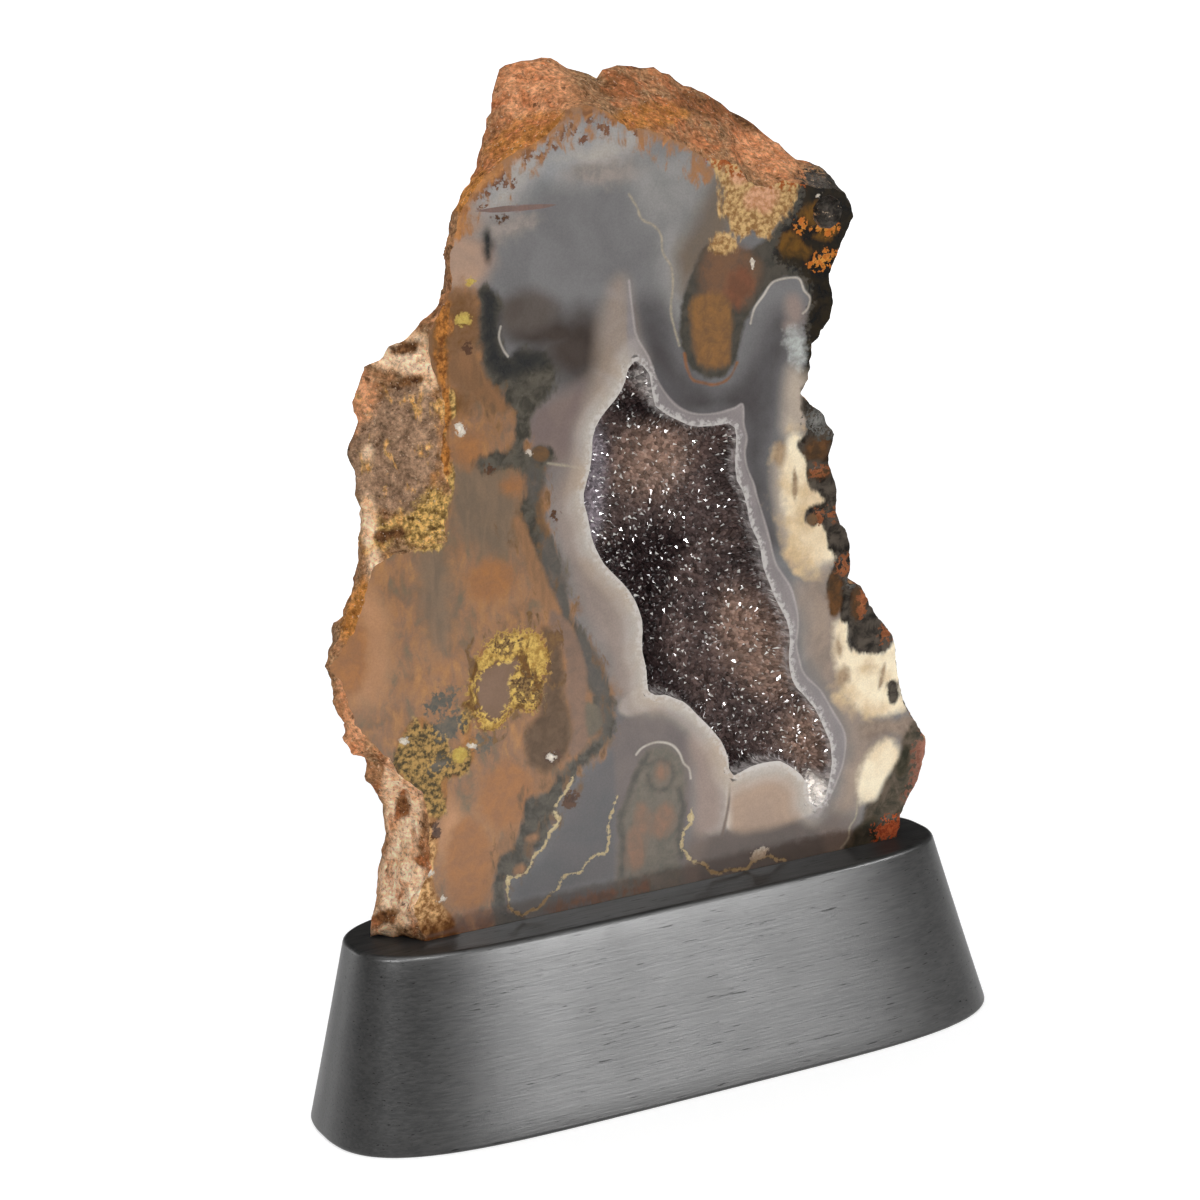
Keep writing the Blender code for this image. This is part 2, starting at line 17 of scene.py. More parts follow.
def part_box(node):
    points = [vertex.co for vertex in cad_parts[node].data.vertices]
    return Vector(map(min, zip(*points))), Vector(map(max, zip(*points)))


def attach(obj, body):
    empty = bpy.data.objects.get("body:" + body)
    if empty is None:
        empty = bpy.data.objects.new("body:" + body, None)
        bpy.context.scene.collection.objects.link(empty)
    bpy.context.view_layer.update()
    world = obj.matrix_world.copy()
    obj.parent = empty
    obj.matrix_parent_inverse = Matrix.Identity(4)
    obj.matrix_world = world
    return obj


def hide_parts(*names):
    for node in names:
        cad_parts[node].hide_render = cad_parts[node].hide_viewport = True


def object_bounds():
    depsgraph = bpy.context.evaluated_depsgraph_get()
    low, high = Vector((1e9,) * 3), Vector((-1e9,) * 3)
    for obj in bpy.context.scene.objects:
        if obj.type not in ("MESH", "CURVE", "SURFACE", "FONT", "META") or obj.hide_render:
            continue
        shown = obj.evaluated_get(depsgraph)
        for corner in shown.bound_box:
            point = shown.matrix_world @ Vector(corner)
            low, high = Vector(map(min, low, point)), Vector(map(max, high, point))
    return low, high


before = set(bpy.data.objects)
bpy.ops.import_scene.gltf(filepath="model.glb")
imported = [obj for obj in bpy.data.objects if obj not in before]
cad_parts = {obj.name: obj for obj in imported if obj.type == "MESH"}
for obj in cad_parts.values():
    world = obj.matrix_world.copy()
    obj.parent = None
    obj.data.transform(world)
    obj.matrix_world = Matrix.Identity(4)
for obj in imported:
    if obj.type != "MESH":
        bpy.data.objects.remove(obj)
cad_low, cad_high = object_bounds()

MM = 0.001

# The polished face: its lean towards the viewer and where its foot stands
FACE_LEAN = math.radians(3.6)
FACE_FOOT_Y = -6.2
STAND_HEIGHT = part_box("wooden_stand")[1].z / MM
FLAT_DEPTH = 0.02

# The photograph's viewpoint in metres, and its picture axes
CAMERA_PLACE = (-0.25149, -0.53115, 0.23646)
CAMERA_RIGHT = (0.8994, -0.4321, -0.0655)
CAMERA_UP = (0.1570, 0.1794, 0.9712)
CAMERA_FORWARD = (0.4079, 0.8838, -0.2292)
CAMERA_LENS = 90.0
CAMERA_SENSOR = 36.0
CAMERA_CLIP = 0.01

# Fineness of the stone's mesh and of the markings' outlines, and how far off those still count
FACE_SPACING = 0.56
EDGE_SPACING = 0.6
VEIN_SPACING = 0.4
RIND_SPACING = 1.15
RIND_COARSENING = 12.0
LINE_STEP = 0.15
FAR_OFF = 8.0

# The rind's relief: the size and height of each kind of lump, and the chips of the face's edge
RIND_LUMPS = ((5.0, 0.9), (2.4, 0.7), (1.2, 0.35))
LUMP_FADE = 1.5
CHIP_SIZE = 1.6
CHIP_DEPTH = 0.45
FOOT_GAP = 0.05

# The hollow and its crust, as in the part. The line gives the height, the middle and the depth
# of the hollow, and each rise its place, half width, half height and how far it stands up.
RIM_WIDTH = 1.3
CRUST_THICKNESS = 2.0
WALL_WIDTH_LEFT = 4.0
WALL_WIDTH_RIGHT = 9.0
HOLLOW_HALF_WIDTH = 18.0
HOLLOW_LINE = (
    (10, 37, 5), (16, 37, 7), (22, 29, 10), (35, 22, 12.5), (55, 13, 13.5),
    (70, 7.5, 14), (85, 3.5, 12.5), (95, 3, 11), (102, -2, 8.5), (110, -1.5, 6),
)
HOLLOW_RIGHT_RISE = 3.0
HOLLOW_LEAST_DEPTH = 2.5
FLOOR_RISES = (
    (-10.5, 91, 4.5, 7.5, 6.5),
    (-10.0, 78, 4.5, 6.0, 7.0),
    (6.0, 87, 8.0, 8.0, 4.5),
    (33.0, 34, 7.0, 9.0, 3.0),
)

# The crystals: how close they stand, how high they are, how far they lean at random, how many
# are tall, and the steps over which the slope of the crust is measured
CRYSTAL_SEED = 7
CRYSTAL_SPACING = 0.66
CRYSTAL_MARGIN = 0.3
CRYSTAL_HEIGHT = (0.25, 0.75)
CRYSTAL_TILT = 0.16
TRIES_PER_CELL = 22
TALL_SHARE = 0.06
TALL_FACTOR = 1.7
LEAST_TIP_DEPTH = 0.03
VALLEY_DEPTH = 0.1
WALL_STEP = 0.2
NORMAL_STEP = 0.05

# The crust's polished rim and its plain back
BAND_MARGIN = 0.25
BACK_SPACING = 3.0
BACK_MARGIN = 1.6
BACK_DEPTH = 1.9

# The stand's rounded edges and the rows of its sides
STAND_ROUNDING = 1.0
STAND_TURNS = 6
STAND_SMOOTHING = 5
STAND_ROWS = 10
STAND_SHARPNESS = math.radians(40.0)

# How the colours seen in daylight turn into base colours
HAZE = 0.018
DARKEST = 0.003
WHITE = (1.0, 1.0, 1.0, 1.0)

# Studio lights, in metres and watts: name, place, aim, width, height, power, and whether
# glossy and matt surfaces see them
LIGHTS = (
    ("front_softbox", (0.58, -1.26, 0.34), (0, 0, 0.08), 0.8, 0.5, 5.6, False, True),
    ("front_gloss", (0.47, -1.3, 0.34), (0, 0, 0.08), 0.42, 0.5, 23.0, True, False),
    ("left_gloss", (-1.1, 1.4, 0.35), (-0.07, 0, 0.03), 0.5, 0.6, 4.0, True, False),
    ("top_softbox", (-0.1, 0.1, 1.2), (0, 0, 0.1), 0.9, 0.9, 9.0, True, True),
    ("front_fill", (-0.5, -1.1, 0.9), (0, 0, 0.1), 0.5, 0.5, 9.0, False, True),
    ("sparkle_0", (0.9, -0.7, 0.9), (0, 0, 0.1), 0.09, 0.09, 14.0, True, False),
    ("sparkle_1", (-0.3, -0.8, 1.1), (0, 0, 0.1), 0.09, 0.09, 14.0, True, False),
    ("sparkle_2", (-0.9, -0.6, 0.7), (0, 0, 0.1), 0.09, 0.09, 14.0, True, False),
)

# The pale floor, in metres, and how bright the floor and the studio round it are: from this
# place to that along Y, and the brightness at each
FLOOR_SIZE = 60.0
FLOOR_GREY = (0.45, 0.45, 0.45, 1.0)
FLOOR_ROUGHNESS = 0.9
FLOOR_GLOW_NEAR = (-0.36, -0.1, 0.0, 0.68)
FLOOR_GLOW_FAR = (0.0, 1.2, 0.0, 0.5)
STUDIO_GLOW = (-0.5, 0.5, 0.45, 1.05)


def linear(channel):
    share = channel / 255.0
    return share / 12.92 if share <= 0.04045 else ((share + 0.055) / 1.055) ** 2.4


def tint(red, green, blue):
    """Base colour of a surface that looks like this colour, from 0 to 255, in daylight."""
    return tuple(max(linear(channel) - HAZE, DARKEST) for channel in (red, green, blue)) + (1.0,)


def area(*outline):
    return ("area", outline)


def spot(along, up, half_width, half_height, turn=0.0):
    return ("spot", (along, up, half_width, half_height, math.radians(turn)))


def vein(width, *line):
    return ("vein", (width, line))


def dabs(reach, *outline):
    """An area only broken dabs of which show, fewer of them the lower its reach."""
    return ("dabs", (reach, outline))


# The brown jasper that fills the left of the face
JASPER = (
    (-75, 128), (-43, 129), (-40, 128.2), (-37, 128), (-34.5, 127), (-33, 126), (-33.4, 120),
    (-33.2, 115), (-31.8, 111), (-28.8, 107.5), (-26.5, 104), (-26, 100), (-24, 95), (-22, 88),
    (-22, 80), (-19.5, 70), (-17, 60), (-13, 52), (-10.5, 45), (-9.6, 40), (-10, 36),
    (-12, 32.5), (-17, 29.5), (-24, 26), (-29.5, 23), (-30.5, 18), (-34.5, 14.5), (-36.3, 11),
    (-36.5, 6), (-35.5, 2), (-34, -3), (-75, -3),
)

# The outer edge of the pale band to the right of the hollow
HALO = (
    (-2.2, 126), (-1.6, 119), (-1, 115), (1.4, 110.5), (3, 106), (5.3, 102.2), (7.8, 99.6),
    (11, 98), (15.5, 97.4), (19.9, 97.9), (21.8, 98.4), (21.9, 94.5), (22.5, 91.6), (22, 88.8),
    (22.4, 85.6), (23.8, 82), (24.4, 79.5), (25.8, 74.8), (27, 70.4), (28.3, 65), (30, 62),
    (31.8, 59), (33, 54.5), (33.3, 51), (32.8, 47), (33.4, 43.5), (34.6, 40), (38.2, 36),
    (41, 31), (43.8, 25.6), (43.6, 20.3), (42, 16), (39.8, 12),
)

# Noises that mix colours and move edges: name, grain size, detail, roughness and distortion,
# how far the grain is stretched along each axis, and the part of its values led over 0 to 1
EVEN = (1.0, 1.0, 1.0)
PATTERNS = (
    ("cloud", 11.0, 4.0, 0.55, 0.6, EVEN, (0.3, 0.7)),
    ("mottle", 2.6, 5.0, 0.62, 0.5, EVEN, (0.32, 0.68)),
    ("streak", 1.4, 5.0, 0.6, 0.8, (1.6, 1.6, 6.0), (0.32, 0.68)),
    ("crumb", 1.0, 3.0, 0.6, 0.0, EVEN, (0.36, 0.64)),
    ("speckle", 0.7, 2.0, 0.6, 0.0, EVEN, (0.36, 0.62)),
    ("drift", 6.0, 4.0, 0.5, 0.0, EVEN, None),
    ("dab", 3.4, 5.0, 0.6, 0.4, (0.8, 1.0, 1.7), None),
    ("fray", 1.9, 5.0, 0.6, 0.0, EVEN, None),
)

# Roughness and refraction of each finish
POLISH = 0.06
MATT = 0.55
RIND_ROUGHNESS = 0.75
CRYSTAL_ROUGHNESS = 0.12
QUARTZ_IOR = 1.54
LACQUER_IOR = 1.5

# Markings of the polished face, painted in this order. Each has a name, the two colours it
# mixes, the pattern that mixes them, the softness of its edge, the pattern and the strength
# of its edge's wobble, its roughness, and its shapes. A wobble below 0 moves the edge out
# where the pattern is low instead of high.
MARKINGS = (
    ("crown_pale", tint(176, 168, 160), tint(148, 148, 148), "cloud", 5.0, "drift", 3.0, POLISH,
     (spot(-13, 152, 17, 5, 8), spot(-27, 146, 9, 4, 25))),
    ("beige_flank", tint(182, 150, 128), tint(150, 131, 118), "cloud", 3.5, "drift", 3.0, POLISH,
     (spot(-37, 136, 6, 9),)),
    ("crown_warm", tint(158, 147, 139), tint(138, 131, 126), "mottle", 2.5, "fray", 3.0, POLISH,
     (spot(-5, 147, 9, 2, -5), spot(-27, 139, 6, 2, 10))),
    ("crown_blue", tint(151, 148, 145), tint(135, 133, 131), "cloud", 4.0, "drift", 3.0, POLISH,
     (spot(8, 143, 9, 7), spot(9, 126, 5, 12))),
    ("grey_deep", tint(80, 76, 76), tint(92, 89, 90), "cloud", 4.0, "drift", 2.0, POLISH,
     (area((-1, 121), (4, 122), (7, 116), (8, 110), (11, 106), (16, 102.5), (21, 104),
           (26, 110), (30, 116), (33, 112), (31, 104), (29, 96), (27, 86), (28, 76), (30, 68),
           (24, 70), (21, 84), (20, 96), (10, 97), (3, 102), (0, 112)),)),
    ("smoke", tint(60, 52, 48), tint(76, 67, 62), "cloud", 4.5, "drift", 2.5, POLISH,
     (spot(-13.5, 114, 7.5, 7), spot(-20, 118, 9, 3.5, -10))),
    ("lobe_grey", tint(100, 92, 87), tint(88, 79, 73), "cloud", 2.5, "drift", 1.5, POLISH,
     (spot(-24, 122.5, 6, 4),)),
    ("rose_grey", tint(122, 107, 103), tint(132, 116, 109), "cloud", 2.5, "drift", 1.5, POLISH,
     (area((-21, 105), (-17, 106), (-12, 107), (-11, 100), (-12, 93), (-22, 91), (-25, 95),
           (-26, 99), (-24, 103)),)),
    ("rose_low", tint(156, 141, 132), tint(142, 128, 120), "cloud", 4.0, "drift", 2.0, POLISH,
     (area((-22, 88), (-13, 92), (-12, 80), (-10, 70), (-4, 62), (-1, 50), (-1, 42), (-6, 37),
           (-9, 44), (-12, 54), (-16, 64), (-19, 74), (-21, 82)),)),
    ("low_grey", tint(98, 97, 98), tint(106, 102, 102), "cloud", 4.0, "drift", 2.0, POLISH,
     (area((-9, 40), (-4, 38), (-6, 28), (-8, 18), (-9, 6), (-20, 1), (-32, 2), (-33, 8),
           (-26, 15), (-19, 27), (-11, 33)),)),
    ("tip_glow", tint(158, 145, 136), tint(146, 130, 116), "cloud", 2.6, "drift", 1.0, POLISH,
     (area((-7.5, 122.5), (-5.5, 126), (-3, 126), (-2, 120), (-1.2, 114), (0.5, 109),
           (-4, 106), (-8, 101), (-13, 97), (-12.5, 101), (-11.5, 106), (-10, 111), (-9, 117)),)),
    ("right_beige", tint(168, 148, 131), tint(136, 121, 110), "cloud", 4.0, "drift", 2.5, POLISH,
     (area((38, 62), (43, 56), (43, 48), (44, 36), (50, 27), (54, 24), (50, 16), (46, 8),
           (41, 9), (44, 20), (43, 30), (37, 40), (35, 50), (34, 58)),)),
    ("foot_grey", tint(112, 98, 90), tint(128, 113, 104), "cloud", 3.5, "drift", 2.0, POLISH,
     (area((8, 11), (16, 9), (30, 9), (38, 9), (44, 7), (43, -2), (6, -2)),)),
    ("finger_mist", tint(120, 106, 92), tint(108, 100, 93), "cloud", 3.0, "drift", 2.0, POLISH,
     (area((13, 136), (16, 142), (20, 146), (20, 134), (18, 128), (13, 126), (9, 122),
           (8, 128), (10, 133)),)),
    ("halo_right", tint(146, 138, 137), tint(136, 129, 129), "cloud", 0.5, "drift", 0.5, POLISH,
     (area(*HALO, (36, 8.6), (30, 24), (20, 50), (10, 80), (0, 100), (-3, 112)),)),
    ("lobe_rim", tint(176, 165, 156), tint(160, 148, 140), "cloud", 0.7, "drift", 0.4, POLISH,
     (area((-8, 41), (-2, 44), (6, 41), (12, 35), (16.5, 27), (17.5, 19), (16.2, 15),
           (14.5, 9), (10, 12), (11, 24), (7, 32), (1, 36.5), (-5, 37.5)),)),
    ("lobe", tint(108, 100, 98), tint(120, 110, 106), "cloud", 1.0, "drift", 0.5, POLISH,
     (area((-9, 36), (-4, 38.6), (2, 38.6), (6, 37), (9.5, 34.6), (12, 31.5), (11, 27),
           (8, 24), (7.5, 16), (5, 8), (4, 0), (-9, 0), (-9, 20)),)),
    ("lobe_blush", tint(160, 141, 131), tint(150, 133, 124), "cloud", 2.2, "drift", 0.6, POLISH,
     (area((8, 31), (12, 30.5), (14, 26), (14.6, 19), (13.6, 11), (8.5, 11), (8.5, 22)),)),
    ("dome_rim", tint(208, 196, 184), tint(190, 176, 165), "cloud", 0.5, "drift", 0.4, POLISH,
     (area((16.4, 21.5), (20, 22.8), (25, 23.4), (29, 22.8), (32, 20.8), (34, 18.5),
           (35.6, 14), (36, 10), (33, 9), (17, 9), (15.6, 16)),)),
    ("dome", tint(180, 154, 133), tint(170, 146, 128), "cloud", 1.4, "drift", 0.4, POLISH,
     (area((17, 19), (20.5, 20.6), (25, 21.2), (28.5, 20.6), (31.5, 18.4), (33.6, 14),
           (34, 10), (30, 7.5), (18, 7.5), (16.4, 13)),)),
    ("lobe_seam", tint(128, 112, 102), tint(120, 106, 98), "cloud", 0.3, "drift", 0.2, POLISH,
     (vein(0.35, (16.6, 20), (16.3, 16), (15.4, 12), (14.2, 8)),)),
    ("foot_shade", tint(108, 96, 90), tint(98, 88, 82), "cloud", 1.6, "drift", 1.0, POLISH,
     (area((11, 8), (15, 9.5), (20, 8.5), (28, 8.2), (36, 8), (37, -2), (11, -2)),)),
    ("jasper", tint(161, 121, 90), tint(136, 107, 87), "cloud", 0.9, "drift", 1.6, POLISH,
     (area(*JASPER),)),
    ("jasper_umber", tint(132, 102, 78), tint(144, 110, 84), "mottle", 1.6, "drift", 6.0, POLISH,
     (dabs(-0.3, *JASPER),)),
    ("jasper_gold", tint(182, 132, 86), tint(164, 118, 80), "mottle", 1.7, "dab", -6.0, POLISH,
     (dabs(-0.8, *JASPER),)),
    ("jasper_olive", tint(114, 104, 86), tint(126, 108, 86), "mottle", 1.2, "dab", 6.0, POLISH,
     (dabs(-1.3, *JASPER),)),
    ("jasper_light", tint(190, 142, 104), tint(172, 128, 94), "cloud", 4.0, "drift", 3.0, POLISH,
     (spot(-61, 62, 5, 12), spot(-45, 20, 2.5, 8))),
    ("jasper_dark", tint(112, 80, 52), tint(132, 98, 70), "mottle", 2.5, "fray", 2.0, POLISH,
     (area((-42, 127), (-34, 126.5), (-33.8, 118), (-37, 116.5), (-41, 114), (-44, 117)),
      spot(-33, 110, 4, 3), spot(-39, 107, 3, 2.5))),
    ("jasper_grey", tint(118, 102, 86), tint(134, 112, 92), "streak", 3.0, "fray", 2.5, POLISH,
     (area((-41, 95), (-34, 95), (-30, 92), (-27, 86), (-27, 78), (-33, 76), (-37, 78),
           (-42, 84)), area((-49, 79), (-43, 79), (-42, 68), (-43, 60), (-47, 60), (-49, 70)))),
    ("jasper_rust", tint(168, 116, 74), tint(150, 108, 76), "mottle", 1.8, "fray", 1.6, POLISH,
     (spot(-37.3, 97.5, 3, 3.4), spot(-28.2, 89.2, 2.6, 1.7), spot(-65, 62, 5, 9),
      spot(-33, 27, 6, 7), spot(-42, 14, 5, 10), spot(-34, 71, 5, 4))),
    ("jasper_band", tint(142, 104, 74), tint(128, 96, 70), "streak", 0.8, "fray", 0.8, POLISH,
     (area((-41, 116), (-36, 116.5), (-34.3, 114), (-32.6, 110.8), (-30.6, 107.8),
           (-28.5, 105.8), (-26.6, 104.9), (-29, 104), (-32, 104.4), (-34, 106.4),
           (-36.5, 109), (-39.5, 110.6), (-41.5, 113)),)),
    ("moss_zone", tint(66, 63, 56), tint(98, 92, 82), "mottle", 0.9, "dab", 2.6, POLISH,
     (area((-32.6, 128.5), (-30.5, 127), (-28.3, 125), (-29.3, 122), (-29.8, 119.5),
           (-29.2, 116.5), (-28.4, 114.2), (-27.2, 115.3), (-25, 116), (-21.6, 115.2),
           (-19.3, 113), (-18.4, 110.2), (-18.6, 107.6), (-20.2, 105.2), (-22.6, 103.6),
           (-24.4, 101.8), (-25, 99), (-25.8, 96.4), (-24.8, 95.2), (-22.5, 96.2),
           (-20.2, 94.6), (-20.9, 92.2), (-22.3, 88.6), (-22.6, 85), (-22, 81.4),
           (-21.3, 79), (-20, 74.6), (-19.4, 70), (-18.6, 66), (-17.2, 61), (-15.2, 57.5),
           (-13, 54), (-11, 50), (-9.8, 45), (-9, 40.5), (-9.2, 36.5), (-11, 33), (-15, 31),
           (-18, 28.2), (-21.5, 24), (-24.5, 17), (-28, 13.4), (-29, 10.5), (-33.6, 9.6),
           (-33.8, 3), (-31, 0.8), (-31, -2), (-37, -2), (-37, 5), (-36.8, 10), (-35.2, 14.3),
           (-31, 18), (-29.8, 22), (-29, 25.4), (-24.6, 26), (-20.8, 30), (-17, 32.2),
           (-13.4, 34.6), (-11.6, 37), (-11.6, 40), (-13, 43.5), (-14.2, 47), (-14.4, 51),
           (-16, 55.5), (-18, 59.5), (-20.6, 63), (-22.6, 69), (-25.6, 76), (-28.6, 80.5),
           (-27.5, 84), (-25.4, 88), (-26.5, 92), (-30, 93.5), (-34, 92.6), (-35.6, 94.5),
           (-33.5, 96.4), (-30.6, 96), (-27.6, 98), (-27.2, 101), (-27.8, 104.4),
           (-29.8, 107.6), (-32.4, 111), (-33.6, 115), (-33.4, 120), (-33.6, 125)),)),
    ("moss_black", tint(47, 47, 48), tint(58, 57, 54), "mottle", 1.6, "fray", 1.0, POLISH,
     (area((-32.8, 127), (-29.8, 125.5), (-30, 120), (-29.6, 116), (-28.2, 113.6), (-26, 115.2),
           (-21.6, 114.6), (-20.2, 112), (-24, 111.2), (-28, 110), (-31.4, 111.5),
           (-33, 116)), spot(-31.3, 136, 0.9, 3))),
    ("moss_grey", tint(104, 96, 88), tint(88, 84, 79), "mottle", 2.2, "fray", 1.6, POLISH,
     (spot(-20.6, 70, 2.0, 9, 12), spot(-13.4, 50, 1.8, 8, 20), spot(-24, 89, 1.6, 4),
      spot(-12, 39, 2.0, 3.5))),
    ("moss_rust", tint(122, 94, 68), tint(104, 84, 66), "mottle", 0.8, "dab", -4.0, POLISH,
     (dabs(-0.8, (-33, 112), (-27, 106), (-25, 100), (-20, 92), (-21, 80), (-17, 64), (-10, 48),
           (-8, 38), (-16, 28), (-24, 16), (-32, 8), (-38, 6), (-36, 16), (-28, 28), (-15, 38),
           (-18, 54), (-25, 68), (-32, 82), (-28, 92), (-33, 104)),)),
    ("rust_streak", tint(156, 116, 84), tint(136, 104, 78), "streak", 0.7, "fray", 0.8, POLISH,
     (area((-29, 82), (-27.6, 83), (-26, 80.5), (-24.6, 76), (-23.2, 72.4), (-21.4, 67),
           (-19.4, 62), (-21, 60.6), (-23.6, 65), (-26, 70.6), (-27, 76)),
      spot(-34, 16.5, 1.7, 1.6), spot(-28, 17, 1.4, 1.0, 10), spot(-31, 10.8, 1.3, 1.1))),
    ("umber", tint(108, 86, 66), tint(92, 72, 54), "mottle", 1.2, "fray", 1.0, POLISH,
     (area((-24, 60), (-21, 58.5), (-19.8, 54), (-19.4, 50), (-19.8, 46), (-19, 42),
           (-18.6, 37), (-19.8, 33.4), (-22, 31), (-24.4, 30), (-27, 31.6), (-28.4, 34),
           (-28.6, 39), (-27, 41), (-25, 42.5), (-24.6, 46), (-23.4, 50), (-22.6, 54)),)),
    ("rose_arc", tint(140, 112, 94), tint(126, 104, 90), "mottle", 0.6, "fray", 0.6, POLISH,
     (area((-21.5, 63), (-18, 60), (-16.2, 56), (-14.8, 51), (-14.8, 46), (-15, 42),
           (-14.8, 37), (-15.6, 34), (-18.4, 32.2), (-19, 34), (-18, 37), (-18.3, 42),
           (-19.2, 46), (-18.8, 51), (-19.6, 56), (-22, 60)),)),
    ("arc_grey", tint(118, 108, 92), tint(106, 98, 86), "mottle", 0.6, "fray", 0.6, POLISH,
     (area((-14.8, 43), (-12.6, 41.6), (-11.4, 39), (-12.4, 36.6), (-14.6, 36), (-15.2, 40)),)),
    ("ring_core", tint(132, 106, 88), tint(120, 96, 76), "cloud", 0.6, "fray", 0.5, POLISH,
     (spot(-34.5, 49, 4.4, 6.4, -8),)),
    ("ring", tint(222, 188, 108), tint(172, 134, 76), "crumb", 0.4, "crumb", 1.1, MATT,
     (area((-33, 60), (-27, 60.2), (-24.4, 58.2), (-22.8, 55), (-22.6, 51.6), (-24.2, 48.8),
           (-25, 45), (-27, 43), (-29.6, 44.6), (-31.6, 43.6), (-33.6, 41.4), (-36, 41),
           (-38, 41.6), (-38.6, 43.6), (-39.6, 46), (-41.5, 47), (-40, 49), (-39.6, 51.4),
           (-38.8, 53), (-38.0, 55.4), (-36.8, 57.4), (-35.2, 59)),)),
    ("ring_gaps", tint(128, 96, 62), tint(108, 82, 58), "crumb", 0.4, "dab", 4.0, MATT,
     (dabs(-0.55, (-42, 40), (-22, 42), (-21, 60), (-34, 62), (-43, 52)),)),
    ("ring_inside", tint(134, 107, 88), tint(122, 96, 76), "cloud", 0.5, "crumb", 0.7, POLISH,
     (area((-38.2, 50), (-37.6, 52.4), (-36, 53.8), (-33, 54.4), (-30.6, 54.6), (-28.6, 54),
           (-29.8, 52.2), (-31, 49.4), (-31, 46.6), (-32.4, 44.6), (-34.4, 42.8), (-36.4, 43.8),
           (-38, 46.4)),)),
    ("ring_pits", tint(98, 78, 62), tint(150, 122, 82), "speckle", 0.5, "crumb", 1.6, MATT,
     (spot(-28.4, 48.4, 2.0, 2.6), spot(-31.5, 57.8, 2.6, 0.9), spot(-25.4, 46, 0.8, 1.6))),
    ("speckled", tint(188, 152, 96), tint(84, 76, 62), "crumb", 0.6, "dab", 3.4, MATT,
     (area((-56, 37), (-54.6, 42.6), (-51, 46.2), (-48, 44), (-45.4, 41), (-44.6, 37.4),
           (-41, 39.4), (-39.6, 36.8), (-42, 33.2), (-45.4, 32.8), (-46, 28), (-47.4, 25.2),
           (-50.6, 25.6), (-52, 30), (-53.6, 34)),
      spot(-41, 43.4, 1.2, 2.4), spot(-40.2, 39, 1.0, 1.4))),
    ("speckle_moss", tint(84, 84, 78), tint(112, 102, 88), "mottle", 0.9, "crumb", 1.4, POLISH,
     (spot(-44.4, 43.4, 3.4, 2.4, 20), spot(-45.6, 48.6, 3.4, 1.6, 20), spot(-47, 36, 2.4, 0.9),
      spot(-37.6, 38.6, 1.4, 1.6))),
    ("yellow_spots", tint(206, 182, 100), tint(190, 160, 88), "crumb", 0.3, "crumb", 0.4, MATT,
     (spot(-42.5, 37.2, 1.4, 1.7), spot(-35, 129.6, 0.9, 0.7), spot(-37, 122.6, 1.6, 1.2))),
    ("olive_pits", tint(222, 182, 112), tint(120, 96, 62), "crumb", 0.5, "dab", 3.0, MATT,
     (area((-50.5, 85), (-47.6, 88.5), (-45, 93), (-42.2, 96), (-40.6, 91.6), (-41.6, 87),
           (-43.2, 83), (-44, 79.8), (-48.6, 79.6), (-52.6, 80.6)),
      spot(-40.2, 107, 1.2, 3), spot(-42.3, 103, 0.9, 4))),
    ("left_grains", tint(230, 184, 130), tint(142, 100, 66), "crumb", 0.8, "dab", 3.4, MATT,
     (area((-64, 34), (-54, 31), (-49.6, 27), (-48.4, 20), (-50, 14), (-49, 8), (-46, 3),
           (-46, -3), (-66, -3)),)),
    ("left_gold", tint(204, 136, 72), tint(122, 78, 48), "crumb", 0.7, "dab", 3.4, MATT,
     (vein(1.1, (-40.6, 126), (-42, 119), (-41.6, 110), (-42.2, 102), (-43, 95)),)),
    ("brown_rough", tint(158, 124, 94), tint(112, 88, 66), "mottle", 0.9, "dab", 2.4, MATT,
     (area((-44, 110.6), (-43, 105), (-43.4, 98), (-45, 94.6), (-48, 89), (-52, 86.8),
           (-58, 91), (-62, 97), (-60, 104), (-56, 107.6), (-53, 111), (-48, 111.6)),)),
    ("finger_moss", tint(70, 68, 62), tint(86, 80, 72), "mottle", 0.6, "fray", 0.8, POLISH,
     (area((15, 131), (12.4, 127.6), (10.4, 124), (9, 120.5), (8.3, 116), (8.7, 111.5),
           (10, 108), (12.5, 105.6), (15.5, 104.5), (18, 104.8), (20, 106.6), (21.4, 109.8),
           (22.3, 113.5), (24, 116.5), (26.5, 119.5), (28.5, 121.3), (31.5, 122.6),
           (34.8, 122.3), (36.2, 119.8), (37.4, 117.6), (36.3, 114), (36.4, 110), (35.6, 107),
           (36.4, 105), (34.4, 103.6), (35, 101), (38, 100), (48, 108), (54, 128), (52, 142),
           (36, 142), (33, 136), (28, 131), (23, 129)),)),
    ("finger_blend", tint(124, 92, 70), tint(104, 84, 70), "mottle", 1.8, "fray", 1.2, POLISH,
     (area((13.4, 126), (15, 130), (19, 131.4), (23, 129.6), (26, 126.8), (26.4, 123.6),
           (24.6, 120), (22.4, 118), (19.8, 119.6), (14, 120)),)),
    ("finger_red", tint(128, 84, 64), tint(110, 78, 60), "mottle", 1.4, "dab", 2.8, POLISH,
     (area((18.6, 120.4), (19.6, 124.4), (22.6, 125.6), (25, 124.2), (25, 121.6),
           (22.8, 119.4), (21, 117.6)),)),
    ("finger_ochre", tint(146, 106, 66), tint(120, 90, 64), "mottle", 1.0, "dab", 1.8, POLISH,
     (area((11.2, 119.6), (12.6, 121.6), (15.4, 121.8), (18.4, 120.4), (20.2, 117),
           (19.9, 112.5), (19.6, 109), (18.6, 107), (15.6, 106.5), (13.1, 107.3),
           (11.7, 109.5), (11.1, 113), (10.6, 116.5)),)),
    ("finger_rim", tint(150, 100, 66), tint(124, 90, 68), "streak", 0.35, "fray", 0.3, POLISH,
